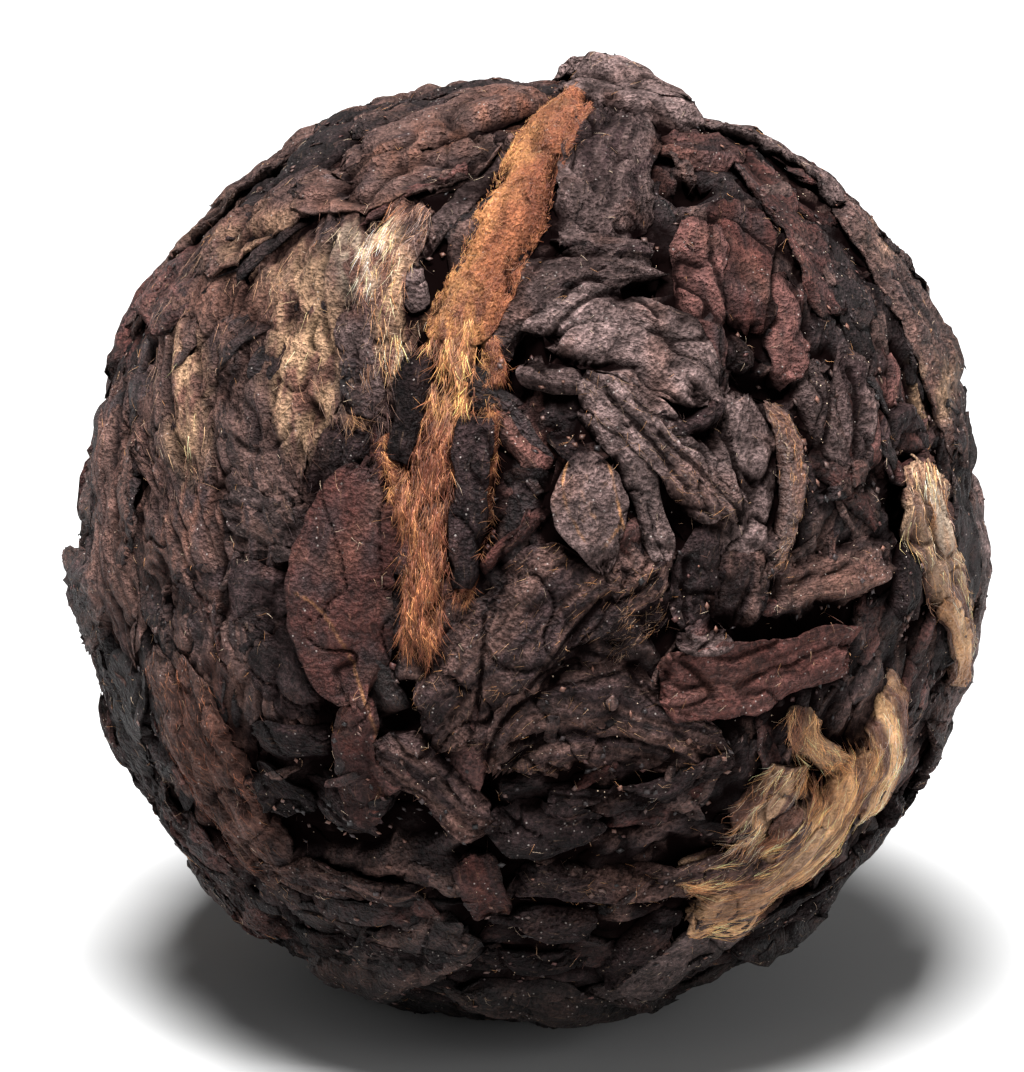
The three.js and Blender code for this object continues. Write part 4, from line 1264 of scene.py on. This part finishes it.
def bed_patch(press, colours, depth):
    """The bed of pressed leaf, as one folded grid: long folds with sharp valleys that run upright, or level
    at the foot and top, with shorter folds and noise on them. It fills the map of heights."""
    size = 306
    directions = folded_directions(size)
    flat = directions.reshape(-1, 3)
    seen = press.seen(flat)
    up = flat @ SHOW_UP
    level = np.maximum(smooth_step(0.35, 0.65, -up), smooth_step(0.55, 0.8, up))
    warp = np.stack([gradient_noise(seen * 0.5 + offset) for offset in (5, 23, 71)], -1)
    long_scales = [0.7, 0.22, 0.7], [0.22, 0.7, 0.7]
    short_scales = [1.9, 0.6, 1.9], [0.6, 1.9, 1.9]
    long_folds = [fold(layered_noise(seen * scale + warp * 0.5, 2)) for scale in long_scales]
    short_folds = [fold(gradient_noise(seen * scale + warp)) for scale in short_scales]
    heights = -depth + 0.28 * (long_folds[0] * (1 - level) + long_folds[1] * level)
    heights += 0.14 * (short_folds[0] * (1 - level) + short_folds[1] * level)
    heights += 0.05 * layered_noise(seen * 2.6, 2) + press.swell(flat) - 0.6 * press.hollow(flat)
    heights = heights.reshape(size, size)
    press.heights[:] = resized(heights, press.SIZE)

    colour = mixed(colours.dark, colours.black, smooth_step(-0.3, 0.4, layered_noise(seen * 0.6 + 9, 3)))
    streaks = layered_noise(seen * [0.9, 0.3, 0.9] + 33, 3)
    colour = mixed(colour, colours.umber, smooth_step(0.0, 0.6, streaks))
    colour = stained(press, flat, colour, colours)

    index = np.arange(size * size).reshape(size, size)
    for edge in (index[0], index[-1], index[:, 0], index[:, -1]):
        edge[:] = np.minimum(edge, edge[::-1])
    index[0, 0] = index[0, -1] = index[-1, 0] = index[-1, -1] = 0
    quads = np.stack([index[:-1, :-1], index[1:, :-1], index[1:, 1:], index[:-1, 1:]], -1).reshape(-1, 4)
    used, compact = np.unique(quads, return_inverse=True)
    points = press.points(directions, heights).reshape(-1, 3)
    # The bed's relief share, for the shade painted where it lies below its blurred heights.
    relief = np.clip(0.5 + (heights - blurred(heights, 12)) / 0.4, 0, 1).ravel()
    grain = np.stack([seen[:, 1], seen[:, 0]], -1)
    faces = compact.reshape(-1, 4), np.zeros((0, 3), int)
    return Patch(points[used], *faces, colour[used], relief[used], grain[used])


def resized(values, size):
    """A square grid read at another number of points, straight between its own."""
    at = np.linspace(0, len(values) - 1, size)
    low = np.minimum(at.astype(int), len(values) - 2)
    share = at - low
    values = values[low] * (1 - share)[:, None] + values[low + 1] * share[:, None]
    return values[:, low] * (1 - share) + values[:, low + 1] * share


def flake_patches(press, colours, rng):
    """Small leaf scraps all over the ball, each lying with its neighbours give or take a turn."""
    count, step = 700, 0.17
    middles = unit(spiral_directions(count) + rng.normal(0, 0.03, (count, 3)))
    patches = []
    for middle in middles:
        length, width = rng.uniform(1.4, 3.8), rng.uniform(0.5, 1.5)
        look = LOOKS[FLAKE_LOOKS[rng.integers(0, len(FLAKE_LOOKS))]]
        lift = rng.uniform(-0.3, 0.05) - 0.7 * float(press.hollow(middle))
        path = press.around_points(middle, flowing(middle, rng.normal(0, 0.6)), length)
        form = "strip" if rng.random() < 0.6 else "oval"
        patches.append(lay_leaf(press, path, width, lift, form, look, colours, step, rng))
    return patches


def spread_patches(press, colours, step, rng):
    """The larger leaves of the sides, back and foot: middles on a golden spiral, with the show side left out.
    The light ones are laid first, so that others lie over their edges, and only far back: nearer ones are
    brown. The show side's creases run on over the leaves along the outline."""
    count, show_cone = 96, math.radians(63)
    far_back, behind = -0.3, -0.5
    middles = spiral_directions(count)
    patches = []
    places = [(SPREAD_LOOKS[number % len(SPREAD_LOOKS)], number) for number in range(count)]
    for name, number in sorted(places, key=lambda place: place[0] not in LIGHT_LOOKS):
        middle = middles[number]
        front = middle @ SHOW_AXIS
        if math.acos(front) < show_cone:
            continue
        length, width = between(4.6, 8.2, number, 7), between(1.9, 3.3, number, 11)
        lift = between(-0.05, 0.4, number, 13)
        path = press.around_points(middle, turned(middle, between(0, math.pi, number, 5)), length)
        if name in LIGHT_LOOKS:
            width, lift = width * 0.7, lift - 0.1
            name = name if front < far_back else "brown"
        form = "strip" if number % 3 else "oval"
        creases = CREASES if front > behind else ()
        patches.append(lay_leaf(press, path, width, lift, form, LOOKS[name], colours, step, rng, creases))
    return patches


def show_patches(press, colours, step, rng):
    """The leaves of the show side, lowest crowns first, by name."""
    patches = {}
    for name, leaf in sorted(SHOW_LEAVES.items(), key=lambda row: row[1][4]):
        *spots, width, lift, form, look_name = leaf
        path = press.show_points(spots)
        sizes = width * WIDENED, lift * PRESSED
        marks = CREASES, VEINS.get(name, ())
        patches[name] = lay_leaf(press, path, *sizes, form, LOOKS[look_name], colours, step, rng, *marks)
    return patches


def ribbon_patches(press, colours, step, rng):
    """Narrow ribbons along some leaves, each on a stretch of the leaf's path and some way to its side."""
    patches = []
    for name, (count, looks) in RIBBONS.items():
        *spots, width, lift, _, _ = SHOW_LEAVES[name]
        whole = press.show_points(spots)
        for number in range(count):
            first = rng.uniform(0, 0.6)
            last = min(1.0, first + rng.uniform(0.3, 0.6))
            point, slope = path_point(whole, np.array([first, (first + last) / 2, last]))
            aside = unit(np.cross(point, slope))
            offset = width * rng.uniform(-0.45, 0.45) + rng.normal(0, 0.08, (3, 1))
            directions = unit(point + aside * offset)
            path = directions * press.mean_radius(directions)[:, None]
            crown = lift * PRESSED + rng.uniform(-0.02, 0.05)
            look = LOOKS[looks[number % len(looks)]]
            narrow = width * rng.uniform(0.25, 0.5)
            patches.append(lay_leaf(press, path, narrow, crown, "oval", look, colours, step, rng))
    return patches


def scrap_patches(press, show, colours, rng):
    """Small scraps that lie on the leaves of the show side, clear of the named ones that stay bare."""
    for name in BARE_LEAVES:
        press.keep_clear(show[name].tops)
    count, step = 1500, 0.1
    patches = []
    for middle in unit(spiral_directions(count) + rng.normal(0, 0.02, (count, 3))):
        length, width = rng.uniform(0.4, 1.4), rng.uniform(0.2, 0.55)
        look = LOOKS[SCRAP_LOOKS[rng.integers(0, len(SCRAP_LOOKS))]]
        path = press.around_points(middle, flowing(middle, rng.normal(0, 0.9)), length)
        form = rng.choice(["strip", "oval"])
        if press.kept_clear[press.cells(path)].any() or press.hollow(middle) > 0.3 or rng.random() < 0.7:
            continue
        lift = float(press.height_under(middle) - press.bulge(middle)) + rng.uniform(-0.1, 0.03)
        patches.append(lay_leaf(press, path, width, lift, form, look, colours, step, rng))
    return patches


def strand_patch(press, starts, ahead, rings, length, width, rise, bend, colour):
    """Thin tapered strands over what lies uppermost, all as one patch.

    Each starts in a direction from the centre, runs ahead along the ball with a steady bend and rises evenly.
    Its section is a triangle that shrinks towards the tip, and both ends are closed.
    """
    stations, sides = np.linspace(0, 1, rings), 3
    run = length[:, None] * stations
    aside = np.cross(starts, ahead)
    offset = ahead[:, None] * run[..., None] + aside[:, None] * (bend[:, None] * run**2 / 2)[..., None]
    directions = unit(starts[:, None] + offset / press.half_width)
    ground = press.height_under(directions)
    padded = np.pad(ground, ((0, 0), (1, 1)), mode="edge")
    ground = np.maximum(ground, (padded[:, :-2] + padded[:, 2:]) / 2)
    centres = press.points(directions, ground + rise[:, None] * stations + width[:, None] * 0.3)
    forward = unit(np.gradient(centres, axis=1))
    side = unit(np.cross(forward, directions))
    above = np.cross(side, forward)
    angles = np.pi / 2 + np.arange(sides) * 2 * np.pi / sides
    spoke = np.cos(angles)[:, None] * side[:, :, None] + np.sin(angles)[:, None] * above[:, :, None]
    reach = width[:, None] / 2 * (1 - 0.75 * stations**2)
    points = centres[:, :, None] + reach[..., None, None] * spoke
    points[..., 2] = np.maximum(points[..., 2], 0)

    count = len(starts)
    index = np.arange(points.size // 3).reshape(count, rings, sides)
    beside = np.roll(index, -1, axis=2)
    quads = np.stack([index[:, :-1], index[:, 1:], beside[:, 1:], beside[:, :-1]], -1).reshape(-1, 4)
    triangles = np.concatenate([index[:, 0], index[:, -1, ::-1]])
    each = rings * sides
    return Patch(
        points.reshape(-1, 3),
        quads,
        triangles,
        np.repeat(colour, each, axis=0),
        np.ones(count * each),
        np.zeros((count * each, 2)),
    )


def strands_along(press, leaf, kind, colours, rng):
    """Strands of one kind that start anywhere on a leaf and run along it, give or take a turn."""
    uppermost = np.flatnonzero(press.height_under(leaf.tops) - leaf.heights < 0.06)
    count = kind.count
    picked = rng.choice(uppermost, count)
    starts, ahead = leaf.tops[picked], leaf.ahead[picked]
    angle = rng.normal(0, kind.turn, count)[:, None]
    ahead = unit(ahead * np.cos(angle) + np.cross(starts, ahead) * np.sin(angle))
    palette = np.array([getattr(colours, name) for name in kind.colours])
    colour = palette[rng.integers(0, len(palette), count)] * rng.uniform(*kind.shades, (count, 1))
    # Strands take the tone of the leaf under them, painted valley shade included.
    colour = np.minimum(colour * leaf.tone[picked], 0.9)
    sizes = [rng.uniform(*bounds, count) for bounds in (kind.length, kind.width, kind.rise)]
    return strand_patch(press, starts, ahead, kind.rings, *sizes, rng.normal(0, kind.bend, count), colour)


def loose_strands(press, kind, colours, rng):
    """Strands of one kind that lie anywhere on the ball, in any direction."""
    starts = unit(rng.normal(0, 1, (kind.count, 3)))
    ahead = unit(np.cross(starts, rng.normal(0, 1, (kind.count, 3))))
    heights, tone = press.height_under(starts), np.ones((kind.count, 1))
    everywhere = Patch(*[None] * 6, tops=starts, ahead=ahead, heights=heights, tone=tone)
    return strands_along(press, everywhere, kind, colours, rng)


def grain_patch(press, count, reach, thickness, names, colours, rng):
    """Grains that lie on the ball: eight-sided lumps stretched along it, each with its own sizes and turn."""
    directions = unit(rng.normal(0, 1, (count, 3)))
    directions = directions[~press.kept_clear[press.cells(directions)]]
    count = len(directions)
    middles = press.points(directions, press.height_under(directions) + thickness * 0.5)
    first = unit(np.cross(directions, rng.normal(0, 1, (count, 3))))
    axes = np.stack([first, np.cross(directions, first), directions], 1)
    sizes = np.column_stack([rng.uniform(*reach, (count, 2)), np.full(count, thickness)])
    spokes = axes * sizes[..., None]
    points = middles[:, None] + np.concatenate([spokes, -spokes], axis=1)
    points[..., 2] = np.maximum(points[..., 2], 0)
    faces = np.array([[0, 1, 2], [1, 3, 2], [3, 4, 2], [4, 0, 2], [1, 0, 5], [3, 1, 5], [4, 3, 5], [0, 4, 5]])
    corners = points.shape[1]
    triangles = (np.arange(count)[:, None, None] * corners + faces).reshape(-1, 3)
    palette = np.array([getattr(colours, name) for name in names])
    colour = palette[rng.integers(0, len(palette), count)] * rng.uniform(0.4, 1.1, (count, 1))
    every = count * corners
    return Patch(
        points.reshape(-1, 3),
        np.zeros((0, 4), int),
        triangles,
        np.repeat(colour, corners, axis=0),
        np.ones(every),
        np.zeros((every, 2)),
    )


class Making:
    """What the operators hand on to each other."""

    press = None
    show = {}
    pieces = []


class TEABALL_OT_bed(bpy.types.Operator):
    """Lays the bed of pressed leaf that everything else lies on"""

    bl_idname = "tea_ball.bed"
    bl_label = "Bed of Leaf"

    def execute(self, context):
        sizes, colours = context.scene.tea_ball_sizes, context.scene.tea_ball_colours
        Making.press = Press(sizes)
        bed = leaf_piece("leaf_bed", [bed_patch(Making.press, colours, sizes.bed_depth / MM)])
        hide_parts(NODE)
        return {"FINISHED"}


class TEABALL_OT_flakes(bpy.types.Operator):
    """Presses small leaf scraps into the bed"""

    bl_idname = "tea_ball.flakes"
    bl_label = "Leaf Scraps"

    def execute(self, context):
        rng = np.random.default_rng(SEEDS["flakes"])
        leaf_piece("leaf_scraps", flake_patches(Making.press, context.scene.tea_ball_colours, rng))
        return {"FINISHED"}


class TEABALL_OT_spread(bpy.types.Operator):
    """Lays the larger leaves of the sides, back and foot"""

    bl_idname = "tea_ball.spread"
    bl_label = "Side and Back Leaves"

    def execute(self, context):
        step = context.scene.tea_ball_sizes.spread_step / MM
        rng = np.random.default_rng(SEEDS["spread"])
        leaf_piece("back_leaves", spread_patches(Making.press, context.scene.tea_ball_colours, step, rng))
        return {"FINISHED"}


class TEABALL_OT_show(bpy.types.Operator):
    """Lays the leaves, buds and tips of the show side, and the ribbons and scraps on them"""

    bl_idname = "tea_ball.show"
    bl_label = "Show Leaves"

    def execute(self, context):
        press, colours = Making.press, context.scene.tea_ball_colours
        step = context.scene.tea_ball_sizes.show_step / MM
        draws = {key: np.random.default_rng(SEEDS[key]) for key in ("show", "ribbons", "scraps")}
        Making.show = show_patches(press, colours, step, draws["show"])
        for name in SHOW_PIECES:
            leaves = [leaf for leaf, row in SHOW_LEAVES.items() if LOOKS[row[-1]].piece == name]
            leaf_piece(name, [Making.show[leaf] for leaf in leaves])
        leaf_piece("tip_ribbons", ribbon_patches(press, colours, step, draws["ribbons"]))
        leaf_piece("top_scraps", scrap_patches(press, Making.show, colours, draws["scraps"]))
        return {"FINISHED"}


class TEABALL_OT_down(bpy.types.Operator):
    """Grows the down of the buds, and lays loose hairs and dust"""

    bl_idname = "tea_ball.down"
    bl_label = "Down and Dust"

    def execute(self, context):
        press, colours = Making.press, context.scene.tea_ball_colours
        rng = np.random.default_rng(SEEDS["down"])
        finish = hair_finish("leaf_hair")
        patches = {}
        for leaf, kind in DOWN.items():
            strands = strands_along(press, Making.show[leaf], kind, colours, rng)
            patches.setdefault(kind.piece, []).append(strands)
        patches[STRAY_HAIR.piece].append(loose_strands(press, STRAY_HAIR, colours, rng))
        patches["dust"] = [grain_patch(press, *grain, colours, rng) for grain in GRAINS]
        for name, strands in patches.items():
            piece_from(name, strands, finish)
        return {"FINISHED"}


class TEABALL_OT_crevices(bpy.types.Operator):
    """Marks how far each point lies above or below what is around it, so that shade is painted into crevices
    """

    bl_idname = "tea_ball.crevices"
    bl_label = "Crevices"

    def execute(self, context):
        press = Making.press
        smooth = press.smooth_heights()
        for piece in Making.pieces:
            mesh = piece.data
            points = np.empty(len(mesh.vertices) * 3, np.float32)
            mesh.vertices.foreach_get("co", points)
            offset = points.reshape(-1, 3) / MM - press.centre
            directions = unit(offset)
            height = np.linalg.norm(offset, axis=-1) - press.mean_radius(directions)
            row, column = press.cells(directions)
            around = smooth[row // press.COARSE, column // press.COARSE]
            # Painted shade: points lower than the smoothed heights around them get a low exposure, which the
            # leaf finish darkens to black.
            exposure = np.clip(0.5 + (height - around) / 0.8, 0, 1).astype(np.float32)
            mesh.attributes.new("exposure", "FLOAT", "POINT").data.foreach_set("value", exposure)
        return {"FINISHED"}


class TEABALL_OT_stage(bpy.types.Operator):
    """Sets the pale floor, the soft lights and the camera"""

    bl_idname = "tea_ball.stage"
    bl_label = "Stage"

    def execute(self, context):
        scene = context.scene
        corners = [(x * FLOOR_REACH, y * FLOOR_REACH, 0) for x, y in ((-1, -1), (1, -1), (1, 1), (-1, 1))]
        mesh = bpy.data.meshes.new("floor")
        mesh.from_pydata(corners, [], [(0, 1, 2, 3)])
        floor = bpy.data.objects.new("floor", mesh)
        scene.collection.objects.link(floor)
        pale = Finish("pale_floor")
        shade = (FLOOR_SHADE, FLOOR_SHADE, FLOOR_SHADE, 1)
        pale.fill(pale.shader, {"Base Color": shade, "Roughness": 0.9, "Specular IOR Level": 0.1})
        mesh.materials.append(pale.material)

        centre = Vector(Making.press.centre * MM)
        for name, (spot, size, power) in LIGHTS.items():
            light = bpy.data.lights.new(name, "AREA")
            light.size, light.energy = size, power
            lamp = bpy.data.objects.new(name, light)
            lamp.location = spot
            lamp.rotation_euler = (centre - Vector(spot)).to_track_quat("-Z", "Y").to_euler()
            scene.collection.objects.link(lamp)

        scene.world = bpy.data.worlds.new("studio")
        scene.world.use_nodes = True
        background = scene.world.node_tree.nodes["Background"]
        background.inputs["Color"].default_value = (1, 1, 1, 1)
        background.inputs["Strength"].default_value = AMBIENT
        scene.view_settings.view_transform = "Standard"

        aim = centre + (Vector(SHOW_UP) - Vector(SHOW_RIGHT)) * (AIM_OFFSET * MM)
        camera = bpy.data.cameras.new("camera")
        camera.sensor_width = SENSOR_SIZE
        camera.lens = SENSOR_SIZE * EYE_DISTANCE / VIEW_HEIGHT
        camera.clip_start = 0.01
        view = bpy.data.objects.new("camera", camera)
        view.location = aim + Vector(SHOW_AXIS) * (EYE_DISTANCE * MM)
        view.rotation_euler = (aim - view.location).to_track_quat("-Z", "Y").to_euler()
        scene.collection.objects.link(view)
        scene.camera = view
        return {"FINISHED"}


STEPS = (
    TEABALL_OT_bed,
    TEABALL_OT_flakes,
    TEABALL_OT_spread,
    TEABALL_OT_show,
    TEABALL_OT_down,
    TEABALL_OT_crevices,
    TEABALL_OT_stage,
)


class TEABALL_PT_panel(bpy.types.Panel):
    """Lists the ball's sizes and colours, and a button for each step"""

    bl_idname = "TEABALL_PT_panel"
    bl_label = "Tea Ball"
    bl_space_type = "VIEW_3D"
    bl_region_type = "UI"
    bl_category = "Tea Ball"

    def draw(self, context):
        layout = self.layout
        for group in (context.scene.tea_ball_sizes, context.scene.tea_ball_colours):
            for name in group.__annotations__:
                layout.prop(group, name)
        for step in STEPS:
            layout.operator(step.bl_idname)


CLASSES = (TeaBallSizes, TeaBallColours, *STEPS, TEABALL_PT_panel)


def register():
    for cls in CLASSES:
        bpy.utils.register_class(cls)
    bpy.types.Scene.tea_ball_sizes = bpy.props.PointerProperty(type=TeaBallSizes)
    bpy.types.Scene.tea_ball_colours = bpy.props.PointerProperty(type=TeaBallColours)


def unregister():
    del bpy.types.Scene.tea_ball_sizes
    del bpy.types.Scene.tea_ball_colours
    for cls in reversed(CLASSES):
        bpy.utils.unregister_class(cls)


def main():
    register()
    for step in STEPS:
        group, name = step.bl_idname.split(".")
        getattr(getattr(bpy.ops, group), name)()


if __name__ == "__main__":
    main()
